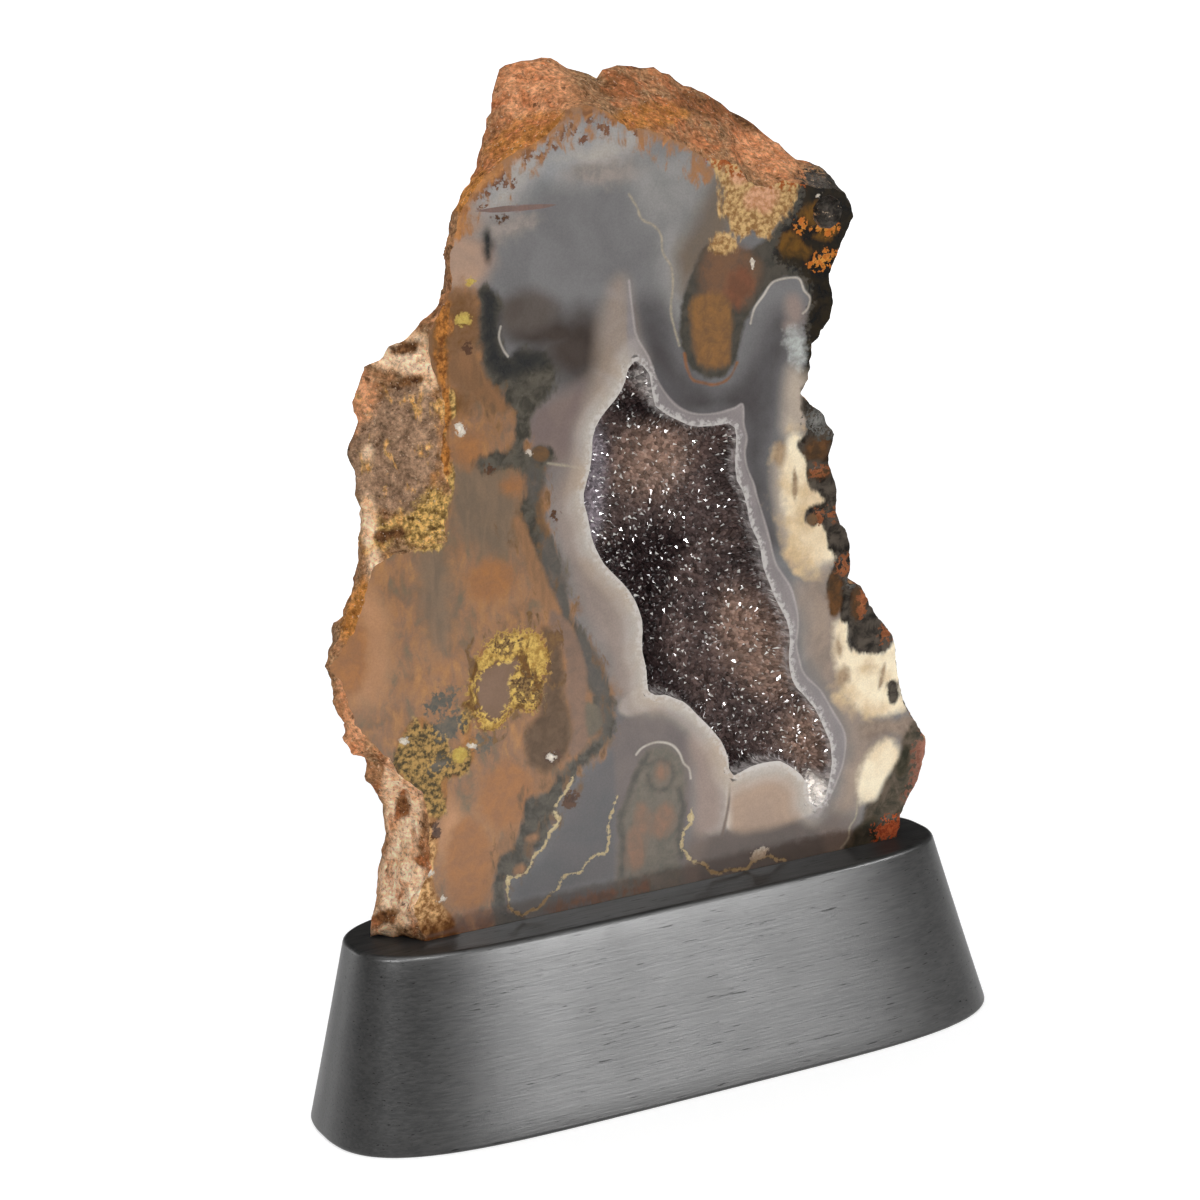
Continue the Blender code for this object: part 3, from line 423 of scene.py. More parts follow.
     (vein(0.24, (9.2, 110.4), (9.8, 107), (11, 104.8), (13, 104), (15.2, 103.3), (17.6, 103.5),
           (19.4, 104.6), (20.8, 107)),)),
    ("black_corner", tint(38, 37, 36), tint(56, 50, 42), "mottle", 0.9, "crumb", 0.9, 0.2,
     (area((35, 123.4), (37.2, 120.6), (38, 117.6), (36.6, 114), (36.8, 110), (36, 107.4),
           (37.4, 104), (41, 108), (48, 112), (50, 120), (50, 142), (37, 142), (36, 137),
           (32, 132), (30, 127)),)),
    ("corner_brown", tint(118, 84, 44), tint(78, 62, 42), "mottle", 0.8, "dab", 2.6, 0.2,
     (area((31.4, 130.6), (34.4, 131.6), (36, 129), (38.6, 128), (38, 126.2), (34, 126.6),
           (31.6, 127.6)), spot(41.6, 130.4, 3.4, 1.0, 10), spot(38, 134.6, 2.2, 2.4))),
    ("corner_gold", tint(222, 160, 78), tint(190, 110, 52), "crumb", 0.3, "crumb", 1.6, MATT,
     (spot(40.6, 125.2, 2.6, 1.1, 12), spot(41, 131.6, 2.8, 0.7, -8), spot(36, 132.2, 0.9, 0.8))),
    ("grain_cream", tint(214, 178, 124), tint(150, 112, 74), "crumb", 0.6, "dab", 3.2, MATT,
     (area((16.8, 150), (17.4, 144), (18.4, 140.4), (17.8, 137.8), (19.6, 134.8),
           (21.6, 132.4), (25, 132.2), (28.4, 131.2), (31, 133.6), (34.4, 137.6), (36, 142),
           (36, 150)), spot(18.2, 130.6, 2.7, 1.9))),
    ("grain_pink", tint(222, 172, 138), tint(190, 136, 98), "crumb", 1.0, "dab", 2.4, MATT,
     (spot(27.2, 138.8, 4.0, 2.6, 10), spot(22.4, 143.6, 2.6, 1.6))),
    ("grain_orange", tint(206, 122, 70), tint(158, 88, 54), "crumb", 0.8, "crumb", 1.6, MATT,
     (area((15, 150), (18, 146), (24, 144.6), (28, 142.4), (33, 141.4), (38, 142), (38, 152),
           (16, 154)),)),
    ("lobe_pale", tint(150, 134, 126), tint(134, 121, 116), "cloud", 1.6, "drift", 0.8, POLISH,
     (spot(34, 116, 2.0, 3.2, 20), spot(33.2, 113, 1.6, 1.2))),
    ("lobe_ice", tint(190, 194, 190), tint(152, 150, 146), "mottle", 1.3, "fray", 2.4, POLISH,
     (area((32, 112), (34.6, 112.4), (35.8, 109.4), (35.8, 106), (35, 103.4), (33.6, 104.8),
           (32.6, 108)),)),
    # Partly the stone's own cream colour, partly painted glow where light shines through the thin
    # stone near its right edge
    ("cream_veil", tint(196, 180, 162), tint(176, 162, 148), "cloud", 2.2, "drift", 1.0, POLISH,
     (area((31.8, 104), (35, 103.4), (37.2, 99), (36.6, 93), (34, 91), (31, 91.6), (31, 97)),
      area((28.8, 86), (34, 88), (36.5, 80), (37, 73), (40, 68), (42, 63.6), (37, 61.6),
           (32, 66), (29.6, 74)),)),
    ("cream", tint(250, 236, 206), tint(234, 212, 178), "cloud", 1.3, "fray", 1.4, POLISH,
     (area((31.2, 88.6), (34, 91), (35.6, 88), (37.4, 84), (37.4, 80), (41, 77), (38, 73),
           (41, 70.6), (42.6, 65), (42, 63.2), (38.8, 63.4), (36.8, 63), (35.4, 64.4),
           (33.4, 67), (31.8, 71), (30.8, 76), (30.2, 82)),
      area((41.6, 47.4), (42.4, 50), (45.4, 49.6), (45.6, 45), (47.4, 43.4), (51.4, 42),
           (55, 43), (58, 44), (58.4, 38), (57.4, 33), (58.6, 29), (56, 27.6), (52.6, 27.8),
           (48.6, 29.4), (45.4, 32.4), (43, 36.4), (42, 41)),
      area((47.6, 9.8), (46.8, 13), (47.6, 17), (50, 20.6), (53.4, 22.6), (55.2, 22),
           (57, 19.4), (57, 16.6), (54, 14), (51.6, 9.6)))),
    ("cream_tan", tint(222, 194, 150), tint(202, 174, 138), "mottle", 1.6, "drift", -5.0, POLISH,
     (dabs(-0.8, (28, 84), (34, 92), (39, 84), (42, 74), (42, 62), (34, 62), (29, 74)),
      dabs(-0.8, (40, 46), (46, 50), (60, 44), (60, 28), (46, 29), (41, 38)))),
    ("cream_shade", tint(176, 150, 120), tint(150, 128, 104), "mottle", 1.1, "fray", 1.4, POLISH,
     (spot(29.9, 87.4, 1.4, 2.6), spot(42.8, 44.6, 0.7, 2.2, 10), spot(43.4, 38, 1.6, 2.2),
      spot(33.2, 80.4, 0.5, 3.4), spot(53, 36.4, 0.5, 3.0, -15))),
    ("dusky_band", tint(150, 131, 115), tint(128, 110, 96), "mottle", 1.4, "fray", 1.0, POLISH,
     (area((47.6, 26.6), (52, 27), (56.6, 26.4), (60, 27), (62, 24), (58, 21), (56.8, 22.4),
           (53, 23.6), (49, 23)),)),
    ("dark_rim", tint(44, 42, 40), tint(92, 84, 76), "mottle", 0.5, "dab", 1.8, 0.2,
     (area((37, 101), (35.1, 98.9), (35.2, 95.3), (36.4, 93.3), (36, 90.6), (34.4, 89.6),
           (34, 87.6), (35.7, 85.2), (35.9, 83.5), (35.7, 81.8), (36.7, 79.2), (38.8, 78.1),
           (39.6, 76.1), (37.8, 75.8), (36.4, 75.1), (35.7, 72.7), (37.1, 71.1),
           (39.1, 71.4), (39.8, 69.7), (40.5, 66.3), (42.1, 64.3), (41.8, 62.3),
           (40.5, 59.6), (40.3, 56.6), (42.5, 52.5), (43.1, 49.8), (45.1, 49), (45.4, 45),
           (47, 43), (48.6, 42.2), (51.4, 41.6), (54.6, 42.4), (57, 44), (70, 44), (60, 80),
           (55, 105)), spot(55.4, 33, 1.5, 2.8, 12))),
    ("rim_brown", tint(112, 80, 56), tint(78, 64, 52), "mottle", 1.0, "fray", 1.2, 0.35,
     (spot(38.4, 87, 3.0, 2.4), spot(39, 82.2, 2.6, 1.1), spot(47.6, 53.6, 1.6, 3.6, -10),
      spot(42, 56, 1.6, 5))),
    ("rim_rust", tint(176, 110, 74), tint(132, 84, 60), "crumb", 0.6, "crumb", 1.4, MATT,
     (spot(38.6, 82.4, 1.6, 0.7), spot(41.4, 73, 0.8, 0.9), spot(44.4, 61.6, 1.5, 1.6),
      spot(48.6, 53.4, 1.1, 3.0, -12), spot(54.6, 46.4, 1.2, 2.6, -30),
      spot(38.6, 73, 0.9, 0.9))),
    # Painted glint: lighter grey specks on the dark rim stand in for light glinting off it
    ("rim_painted_glint", tint(136, 134, 130), tint(84, 82, 78), "crumb", 0.5, "crumb", 1.6, 0.2,
     (spot(38.6, 93, 2.2, 2.4, -30), spot(40.6, 90.4, 1.8, 0.7), spot(46, 58, 0.9, 0.8))),
    ("low_rim", tint(112, 100, 88), tint(72, 70, 62), "mottle", 0.8, "fray", 0.9, 0.3,
     (area((57.2, 18.2), (58, 22), (62, 26), (68, 22), (64, 8), (58, -2), (43.6, -2),
           (45.2, 3), (47.6, 5.4), (48.8, 9), (51, 9.2), (52.6, 12), (55.2, 15.4)),)),
    ("low_moss", tint(56, 55, 46), tint(84, 78, 66), "mottle", 1.0, "fray", 1.0, 0.2,
     (area((45, -2), (45.6, 2.6), (48, 4.8), (51, 5.4), (52, -2)), spot(58, 17, 1.4, 3.4, -15))),
    ("low_rust", tint(170, 120, 102), tint(130, 90, 76), "crumb", 0.8, "crumb", 1.4, MATT,
     (area((58.6, 8), (60.4, 13), (60.8, 18), (61.4, 21), (66, 22), (66, 8)),)),
    ("low_orange", tint(224, 122, 76), tint(168, 84, 52), "crumb", 0.5, "crumb", 1.5, MATT,
     (spot(54, 2.2, 3.6, 2.4),)),
    ("moss_column", tint(104, 100, 90), tint(122, 112, 100), "mottle", 1.2, "fray", 1.0, POLISH,
     (area((-3, 30), (1, 31), (4, 29.6), (6, 26.4), (6.6, 22), (5.8, 17), (5.2, 11), (4.6, 6),
           (4, -2), (-11, -2), (-10, 4), (-9, 12), (-8.6, 18), (-6, 22), (-4.4, 26)),)),
    ("column_dark", tint(84, 80, 74), tint(98, 92, 84), "mottle", 0.7, "fray", 0.6, POLISH,
     (vein(0.7, (-8.6, 5), (-8, 12), (-8.4, 17), (-6.6, 21), (-4.4, 26), (-1.6, 29.6)),
      vein(0.6, (5, 6), (4.6, 12), (5.8, 17), (5, 21)),
      vein(0.45, (-1.8, 27.4), (1, 28), (3.4, 26), (3.6, 23.4), (1.8, 21.4), (-1, 22.4),
           (-2, 25)))),
    ("column_rust", tint(144, 112, 92), tint(128, 106, 90), "mottle", 1.4, "dab", 2.4, POLISH,
     (spot(1, 14.6, 2.6, 3.6, -30), spot(-5.4, 10, 2.2, 5), spot(1.0, 24.8, 1.4, 1.8),
      spot(-3.4, 16, 1.6, 3.4))),
    ("foot_rust", tint(142, 98, 64), tint(116, 84, 58), "mottle", 1.2, "dab", 4.0, POLISH,
     (vein(0.9, (-52, 1), (-38, 1)), vein(0.9, (-24, 1), (-14, 1.5), (-3, 1)))),
    ("dark_dots", tint(70, 52, 44), tint(96, 70, 54), "crumb", 0.4, "crumb", 0.7, POLISH,
     (spot(-19.4, 23.4, 1.8, 1.6), spot(-20, 82.2, 0.9, 0.8), spot(-28.5, 140.8, 1.4, 0.5, -8),
      spot(-36.5, 117, 0.8, 1.0), spot(-33, 93.2, 1.0, 0.8), spot(-48.6, 22.6, 1.0, 1.6),
      spot(-23, 33, 1.6, 1.5))),
    ("droplet", tint(116, 88, 62), tint(100, 80, 62), "mottle", 0.35, "fray", 0.3, POLISH,
     (spot(-22.4, 94.6, 1.9, 1.5, -25), spot(37, 72.6, 1.3, 1.2))),
    ("dendrites", tint(84, 58, 46), tint(120, 84, 66), "crumb", 0.35, "crumb", 0.8, POLISH,
     (spot(-33, 145.4, 0.5, 0.9), spot(-31, 146.6, 0.5, 1.1), spot(-29.4, 147.6, 0.6, 1.2, 20),
      spot(-27.6, 148.6, 0.7, 1.6), spot(-26, 147, 0.5, 1.0), spot(-23, 151.8, 0.8, 0.9),
      spot(-22, 152.6, 0.6, 0.8), spot(-19.6, 151.4, 0.6, 0.6), spot(-17.4, 153.4, 0.8, 0.7),
      spot(-15, 155.4, 0.7, 1.2), spot(-13, 156.4, 0.8, 1.2), spot(-10.6, 154, 0.5, 0.8),
      spot(-9, 157.4, 0.7, 0.6), spot(-6.4, 155.4, 0.8, 1.0), spot(-5, 157.8, 0.6, 0.7),
      spot(0.6, 154.4, 0.9, 0.7), spot(-32, 143.6, 0.8, 0.4))),
    ("crown_fringe", tint(196, 136, 84), tint(134, 92, 62), "mottle", 0.7, "dab", 4.5, POLISH,
     (vein(1.9, (-37, 140), (-36.6, 144.4), (-32, 148.6), (-27, 152), (-20, 155.8), (-13.7, 159.4),
           (-5.9, 159.8), (5, 154.6), (16.3, 149.8)),)),
    ("fringe_drift", tint(170, 120, 80), tint(150, 116, 90), "mottle", 0.8, "dab", -5.0, POLISH,
     (dabs(-0.45, (-38, 138), (-36, 146), (-26, 153), (-13, 160), (-5, 160), (6, 155), (17, 150),
           (14, 143), (2, 150), (-6, 154), (-13, 153), (-22, 148), (-29, 143)),)),
    ("pink_streak", tint(134, 108, 100), tint(120, 102, 96), "streak", 0.5, "fray", 0.6, POLISH,
     (spot(-25, 142.3, 8.4, 0.5, -2),)),
    ("milk_line", tint(206, 198, 186), tint(176, 166, 154), "cloud", 0.25, "drift", 0.1, POLISH,
     (vein(0.2, (24, 114.4), (25, 117.4), (27, 119.6), (28.5, 121.5), (30, 122.3), (33, 122.5),
           (35.2, 122), (36.2, 119.6), (37.5, 118), (37, 116), (35.8, 115)),
      vein(0.22, (-4.4, 30), (-3, 31.2), (-0.4, 31.8), (2, 31.4), (4, 30.3), (5.4, 28.4),
           (6.2, 26.2), (7.4, 24.8), (7.7, 22.6)),
      vein(0.16, (-29.4, 120.4), (-29.9, 118.4), (-29.2, 116), (-28.2, 114.4)))),
    ("halo_line", tint(176, 168, 164), tint(160, 152, 149), "cloud", 0.3, "drift", 0.1, POLISH,
     (vein(0.18, *HALO),)),
    ("cream_vein", tint(214, 198, 158), tint(184, 164, 128), "crumb", 0.2, "crumb", 0.25, 0.3,
     (vein(0.24, (-18.5, 28), (-20, 25.5), (-21.5, 24), (-22.7, 22.4)),
      vein(0.42, (-22.9, 21.5), (-22.1, 20), (-22.4, 18.8), (-24, 17.6)),
      vein(0.26, (-24, 17.6), (-25, 15.4), (-26, 14.2), (-28, 13), (-28.8, 11), (-30, 9.9),
           (-32, 9.4), (-33.5, 9.3), (-33.9, 7), (-33.8, 5), (-33.5, 3), (-32, 1.8),
           (-31, 0.8)),
      vein(0.24, (-31, 0.8), (-29, 1.7), (-27.3, 1.8), (-26, 3), (-24.5, 4.2), (-23, 5),
           (-22, 6.8), (-20.5, 7.7), (-18, 7.5), (-16.8, 8.7), (-15.5, 9.8), (-13.5, 10.6),
           (-11.8, 10.6), (-11.2, 13), (-11.2, 15.5), (-10.7, 17.5), (-9.8, 20), (-8.8, 22)),
      vein(0.28, (7.5, 16), (7.8, 13.5), (6, 11.8), (5.3, 10), (5.2, 8), (6.5, 6.6), (7, 5),
           (9, 4), (10.5, 3.2), (11.5, 1.7), (13, 0.9), (16, 1), (20, 0.3)),
      vein(0.3, (20, 0.3), (21.2, 1.6), (24, 2.2), (26, 2), (27, 1), (29, 0.6)),
      spot(-33.6, 9.2, 0.6, 1.1), spot(7.4, 14.2, 0.8, 1.0), spot(6.8, 5.6, 0.5, 0.9, 30))),
    ("pale_vein", tint(176, 164, 142), tint(150, 142, 128), "crumb", 0.3, "fray", 0.2, POLISH,
     (vein(0.2, (-1.5, 142.5), (0, 140), (1, 137.5), (3.5, 136), (5, 134), (5.2, 131),
           (5.8, 129.5), (7, 127.5), (7.2, 124), (6.6, 119), (7.4, 115), (8.2, 112)),
      vein(0.18, (46.6, 10.3), (46.2, 6.7), (44.7, 4.7), (44.3, 2.3), (42.3, 0.3)),
      vein(0.22, (-21, 92.6), (-16.6, 91.4), (-12.8, 90.2)))),
    # White grains, and at 40 along and 138 up a white spot painted as a glint
    ("white_grains_and_painted_glint", tint(236, 228, 214), tint(196, 184, 168), "crumb", 0.25, "crumb", 0.4, 0.3,
     (spot(-38.8, 101.8, 0.8, 1.5, 25), spot(-23, 33.1, 0.9, 0.9), spot(23, 3.2, 2.1, 1.2, 12),
      spot(-54, 42, 0.9, 0.7), spot(-39.8, 38.6, 0.9, 0.6), spot(-48, 8.2, 1.0, 0.4, 20),
      spot(-24.7, 95.2, 0.5, 0.4), spot(24.8, 126.4, 0.25, 1.5), spot(40, 138, 0.5, 0.4),
      spot(-50.4, 14.4, 1.0, 0.8))),
)

# Zones of the rough rind, in the same form, placed where the photograph shows them
RIND_ZONES = (
    ("rind_peach", tint(226, 166, 124), tint(184, 126, 88), "mottle", 2.5, "fray", 2.5, 0.8,
     (spot(-21, 164, 8, 6), spot(28, 148, 8, 4, -25), spot(-59, 108, 4, 9),
      spot(-64, 50, 3, 12))),
    ("rind_ochre", tint(206, 142, 80), tint(146, 96, 54), "mottle", 1.6, "fray", 2.0, 0.8,
     (spot(-22, 155, 9, 4, 15), spot(-35, 147, 5, 4, 40), spot(4, 157, 8, 2.5),
      spot(-45, 104, 2, 12), spot(-61, 70, 3, 7, -30))),
    ("rind_olive", tint(224, 182, 110), tint(128, 100, 62), "crumb", 1.4, "dab", 3.0, 0.8,
     (spot(-47, 86, 6, 6), spot(-56, 84, 3.5, 2.6))),
    ("rind_brown", tint(180, 145, 117), tint(128, 102, 82), "mottle", 1.4, "fray", 2.0, 0.75,
     (area((-44, 110.6), (-43, 98), (-46, 92), (-50, 87.4), (-58, 90), (-64, 97), (-61, 103),
           (-56, 107.6), (-53, 111), (-48, 111.6)),)),
    ("rind_crust", tint(232, 184, 118), tint(196, 142, 82), "crumb", 0.6, "dab", 5.0, 0.8,
     (dabs(-1.2, (-43, 114), (-42, 98), (-45, 84), (-50, 78), (-62, 84), (-66, 98), (-62, 108),
           (-52, 114)),)),
    ("rind_cream", tint(255, 226, 192), tint(232, 184, 140), "mottle", 1.2, "dab", 1.2, 0.7,
     (area((-56, 117), (-50, 114), (-45.6, 110.4), (-43.4, 111), (-44, 117), (-46, 121),
           (-50, 121)), spot(-58.6, 87, 1.6, 5), spot(-57.6, 77, 1.4, 4), spot(-57.6, 100, 1, 1),
      spot(-55, 30, 4, 12), spot(-56, 13, 5, 9), spot(-62, 4, 4, 5))),
    ("rind_pits", tint(92, 66, 48), tint(136, 96, 66), "crumb", 0.8, "dab", 2.6, 0.85,
     (spot(-3, 163, 4, 2.4), spot(14, 158, 6, 2.0, -20), spot(24, 154, 4, 1.6, -30),
      spot(-49, 118.6, 3, 1.6), spot(-48.5, 112.4, 3, 1.0), spot(-55, 29, 1.8, 2.4),
      spot(-60, 7, 3, 2), spot(-54, 83.4, 3.4, 1.2), spot(-52, 17, 1.6, 1.2, 30))),
    ("rind_rust", tint(204, 132, 88), tint(160, 98, 66), "crumb", 1.0, "dab", 3.0, 0.8,
     (dabs(-0.5, (-68, 40), (-53, 36), (-48, 20), (-45, -4), (-72, -4)),
      dabs(-0.3, (-8, 169), (6, 168), (24, 162), (42, 152), (36, 142), (20, 148), (2, 154)),
      dabs(-0.3, (-44, 150), (-30, 150), (-16, 160), (-20, 170), (-44, 170)),
      spot(55, 2, 5, 3))),
    ("rind_black", tint(54, 52, 50), tint(96, 90, 84), "mottle", 1.4, "crumb", 1.8, 0.3,
     (area((36.5, 142), (44, 143), (60, 140), (60, 104), (46, 104), (52, 94), (52, 72),
           (58, 58), (70, 50), (70, 26), (64, 24), (58, 28), (56, 40), (50, 50), (44, 60),
           (42, 70), (40, 90), (36, 100), (38, 112), (40, 124)),)),
    ("rind_edge", tint(168, 96, 66), tint(112, 72, 54), "crumb", 0.7, "crumb", 1.6, 0.75,
     (vein(0.8, (48, 141), (50, 134), (48, 127), (44, 121), (45.6, 115)),
      vein(0.7, (38.6, 105), (38, 101)), vein(0.9, (43, 84), (44.6, 74), (46.6, 66), (47, 58)),
      vein(0.9, (50, 57), (53, 51), (57.6, 44)), vein(1.8, (64, 24), (66, 18), (62, 9)))),
)

# Zones of the crystals: name, colour, softness of the edge, and shapes. The dark zone is painted
# shade deep in the hollow; the brown and lilac zones are tints that are also paler on the
# hollow's rises as painted light
DRUSE_ZONES = (
    # Painted shade: darker deep down in the hollow
    ("druse_painted_shade", tint(60, 52, 52), 4.0,
     (area((-14, 78), (-4, 72), (8, 74), (14, 70), (10, 58), (8, 48), (12, 38), (18, 28),
           (24, 22), (16, 20), (12, 32), (4, 40), (-2, 42), (-3, 56), (-8, 66)),
      spot(2, 99, 6, 3, -25))),
    # Brown and lilac tints, paler on the hollow's rises as painted light
    ("druse_brown_and_painted_light", tint(160, 134, 120), 5.0,
     (spot(5, 88, 7, 7), spot(27, 46, 5, 12, 20), spot(37, 26, 4, 7))),
    ("druse_lilac_and_painted_light", tint(146, 136, 142), 3.0,
     (area((-15, 97), (-8, 98), (-5, 90), (-6, 80), (-8, 73), (-13, 76)),)),
    ("druse_pale", tint(240, 234, 228), 2.0,
     (spot(37, 13, 3.4, 4), vein(0.2, (0, 107), (4, 101), (8, 98.5), (14, 97.6)))),
)

# The face away from its markings. A glow of pearl lies left of the hollow, faint bands run
# round the hollow, painted shade makes the foot darker and browner, and a white edge is at the
# crust.
FACE_BASE = (tint(126, 124, 124), tint(116, 114, 114))
PEARL = (tint(188, 180, 172), tint(186, 168, 150))
PEARL_SHARE = 0.9
PEARL_REACH = (5.6, 0.5)
PEARL_FADE = 6.0
BAND_RATE = 2.6
BAND_STRENGTH = 0.028
BAND_REACH = (14.0, 1.0)
BAND_WOBBLE = 1.6
# Painted shade at the foot, where the face meets the stand: its colour is multiplied by this
FOOT_PAINTED_SHADE = (0.52, 0.42, 0.35, 1.0)
FOOT_WOBBLE = 2.0
FOOT_REACH = (4.2, 6.2)
CRUST_EDGE = tint(212, 207, 202)
CRUST_EDGE_SHARE = 0.7
CRUST_EDGE_WOBBLE = 1.2
CRUST_EDGE_REACH = (2.0, 0.6)
# Polished places are glossy and matt ones hardly: from this roughness to that, and the levels
SHEEN = (0.08, 0.25, 0.5, 0.05)

# Noises of the surfaces below have a grain size, detail, roughness and sometimes distortion. A
# shade or a reach is the part of a noise's values that is used, and what it is led over.
FACE_GRAIN = (0.35, 3.0, 0.6)
FACE_GRAIN_SHADE = (0.3, 0.7, 0.93, 1.07)
FACE_GRAIN_RELIEF = 0.004
MATT_GRAIN = (0.7, 4.0, 0.65)
MATT_GRAIN_REACH = (0.3, 0.5)
FACE_BUMP = (0.8, 0.45)

# The rough rind: stained stone with grit, pits and pale grains
RIND_WARM = (tint(196, 140, 99), tint(128, 89, 63))
RIND_GREY = (tint(178, 144, 108), tint(112, 84, 62))
RIND_GRIT = (0.9, 5.0, 0.72)
RIND_GRIT_SHADE = (0.32, 0.68, 0.5, 1.95)
RIND_PIT = tint(76, 52, 38)
RIND_PITS = (1.7, 4.0, 0.6)
RIND_PITS_REACH = (0.4, 0.3)
RIND_PITS_SHARE = 0.75
RIND_GRAIN = tint(246, 214, 180)
RIND_GRAINS = (0.6, 2.0, 0.5)
RIND_GRAINS_REACH = (0.64, 0.74)
RIND_GRAINS_SHARE = 0.6
RIND_CELLS_PER_MM = 0.7
RIND_CELL_RELIEF = 0.35
RIND_SPECULAR = 0.08
RIND_BUMP = (1.0, 1.0)

# Smoky quartz, sugary near the crust's edge, and a few facets painted near white as glints
QUARTZ = (tint(92, 80, 78), tint(108, 92, 88))
QUARTZ_PATCHES = (7.0, 3.0, 0.5)
QUARTZ_PATCHES_REACH = (0.35, 0.65)
QUARTZ_SUGAR = tint(206, 200, 198)
QUARTZ_SUGAR_GRAIN = (1.2, 3.0, 0.6)
QUARTZ_SUGAR_SHARE = 0.7
QUARTZ_SUGAR_WOBBLE = 3.0
QUARTZ_SUGAR_REACH = (0.4, 2.2)
QUARTZ_SHADES = (0.5, 1.45)
# Painted glint: the near-white colour and the share of facets that get it
QUARTZ_PAINTED_GLINT = tint(252, 249, 244)
QUARTZ_PAINTED_GLINT_SHARE = (0.965, 0.99)

# Black-stained wood with a satin lacquer. Its noises begin with how far they are stretched
# along each axis, and its specular level falls in the pores and on the level top.
WOOD = ((0.012, 0.012, 0.012, 1.0), (0.034, 0.033, 0.032, 1.0))
WOOD_GRAIN = ((9.0, 0.9, 0.5), 1.0, 4.0, 0.6, 0.4)
WOOD_FIGURE = ((34.0, 6.0, 5.0), 1.0, 3.0, 0.5)
WOOD_FIGURE_SHARE = 0.4
WOOD_SHADE = (0.45, 0.95)
WOOD_DULLNESS = (EVEN, 12.0, 5.0, 0.6)
WOOD_DULLNESS_GRAIN = 0.3
WOOD_ROUGHNESS = (0.4, 0.9, 0.37, 0.42)
WOOD_PORES = ((5.0, 0.7, 0.35), 1.0, 2.0, 0.5)
WOOD_SPECULAR = (0.34, 0.28, 0.5, 0.1)
WOOD_TOP_DULLING = (0.7, 0.95, 1.0, 0.35)
WOOD_BUMP = (0.4, 0.08)


def face_points(places):
    """World points, in metres, of places given along, up and in depth behind the face."""
    along, up, depth = np.asarray(places, float).T
    lean_y, lean_z = -math.sin(FACE_LEAN), math.cos(FACE_LEAN)
    return MM * np.column_stack((along, FACE_FOOT_Y + lean_y * up + lean_z * depth,
                                 STAND_HEIGHT + lean_z * up - lean_y * depth))


def face_places(points):
    """Places along, up and behind the face of world points given in metres."""
    x, y, z = (np.asarray(points, float) / MM).T
    y, z = y - FACE_FOOT_Y, z - STAND_HEIGHT
    lean_y, lean_z = -math.sin(FACE_LEAN), math.cos(FACE_LEAN)
    return np.column_stack((x, lean_y * y + lean_z * z, lean_z * y - lean_y * z))


def seen_on_face(places):
    """Where places behind the face show on its plane from the photograph's viewpoint."""
    eye = face_places([CAMERA_PLACE])[0]
    share = eye[2] / (eye[2] - places[:, 2])
    return eye[:2] + share[:, None] * (places[:, :2] - eye[:2])


def rounded(outline, closed, steps=4):
    """The outline led smoothly through its points."""
    points = np.array(outline, float)
    count = len(points)
    if closed:
        before, after, beyond = (np.roll(points, k, axis=0) for k in (1, -1, -2))
        start = points
    else:
        padded = np.vstack((points[:1], points, points[-1:]))
        before, start = padded[:count - 1], padded[1:count]
        after, beyond = padded[2:count + 1], padded[3:]
    rows = []
    for step in range(steps):
        t = step / steps
        rows.append(0.5 * (2 * start + (after - before) * t
                           + (2 * before - 5 * start + 4 * after - beyond) * t ** 2
                           + (3 * start - before - 3 * after + beyond) * t ** 3))
    smooth = np.stack(rows, 1).reshape(-1, 2)
    return smooth if closed else np.vstack((smooth, points[-1:]))


def resampled(line, spacing):
    runs = np.hypot(*np.diff(line, axis=0).T)
    travelled = np.concatenate(([0.0], np.cumsum(runs)))
    stops = np.linspace(0.0, travelled[-1], max(2, int(travelled[-1] / spacing) + 1))
    return np.column_stack([np.interp(stops, travelled, line[:, i]) for i in (0, 1)])


def line_distance(points, line):
    """Distance from each point to a line, measured to points set closely along it."""
    close = resampled(line, LINE_STEP)
    tree = KDTree(len(close))
    for number, (along, up) in enumerate(close):
        tree.insert((along, up, 0.0), number)
    tree.balance()
    return np.array([tree.find((along, up, 0.0))[2] for along, up in points.tolist()])


def held(points, loop):
    """Whether a closed loop holds each point."""
    order = np.argsort(points[:, 1])
    along, up = points[order].T
    inside = np.zeros(len(points), bool)
    for start, end in zip(loop, np.roll(loop, -1, axis=0)):
        low, high = sorted((start, end), key=lambda place: place[1])
        first, last = np.searchsorted(up, (low[1], high[1]))
        if last > first:
            share = (up[first:last] - low[1]) / (high[1] - low[1])
            inside[first:last] ^= along[first:last] < low[0] + share * (high[0] - low[0])
    result = np.empty(len(points), bool)
    result[order] = inside
    return result


def edge_distance(points, loop):
    """Distance from each point to a closed loop, counted positive inside it."""
    nearest = line_distance(points, np.vstack((loop, loop[:1])))
    return np.where(held(points, loop), nearest, -nearest)


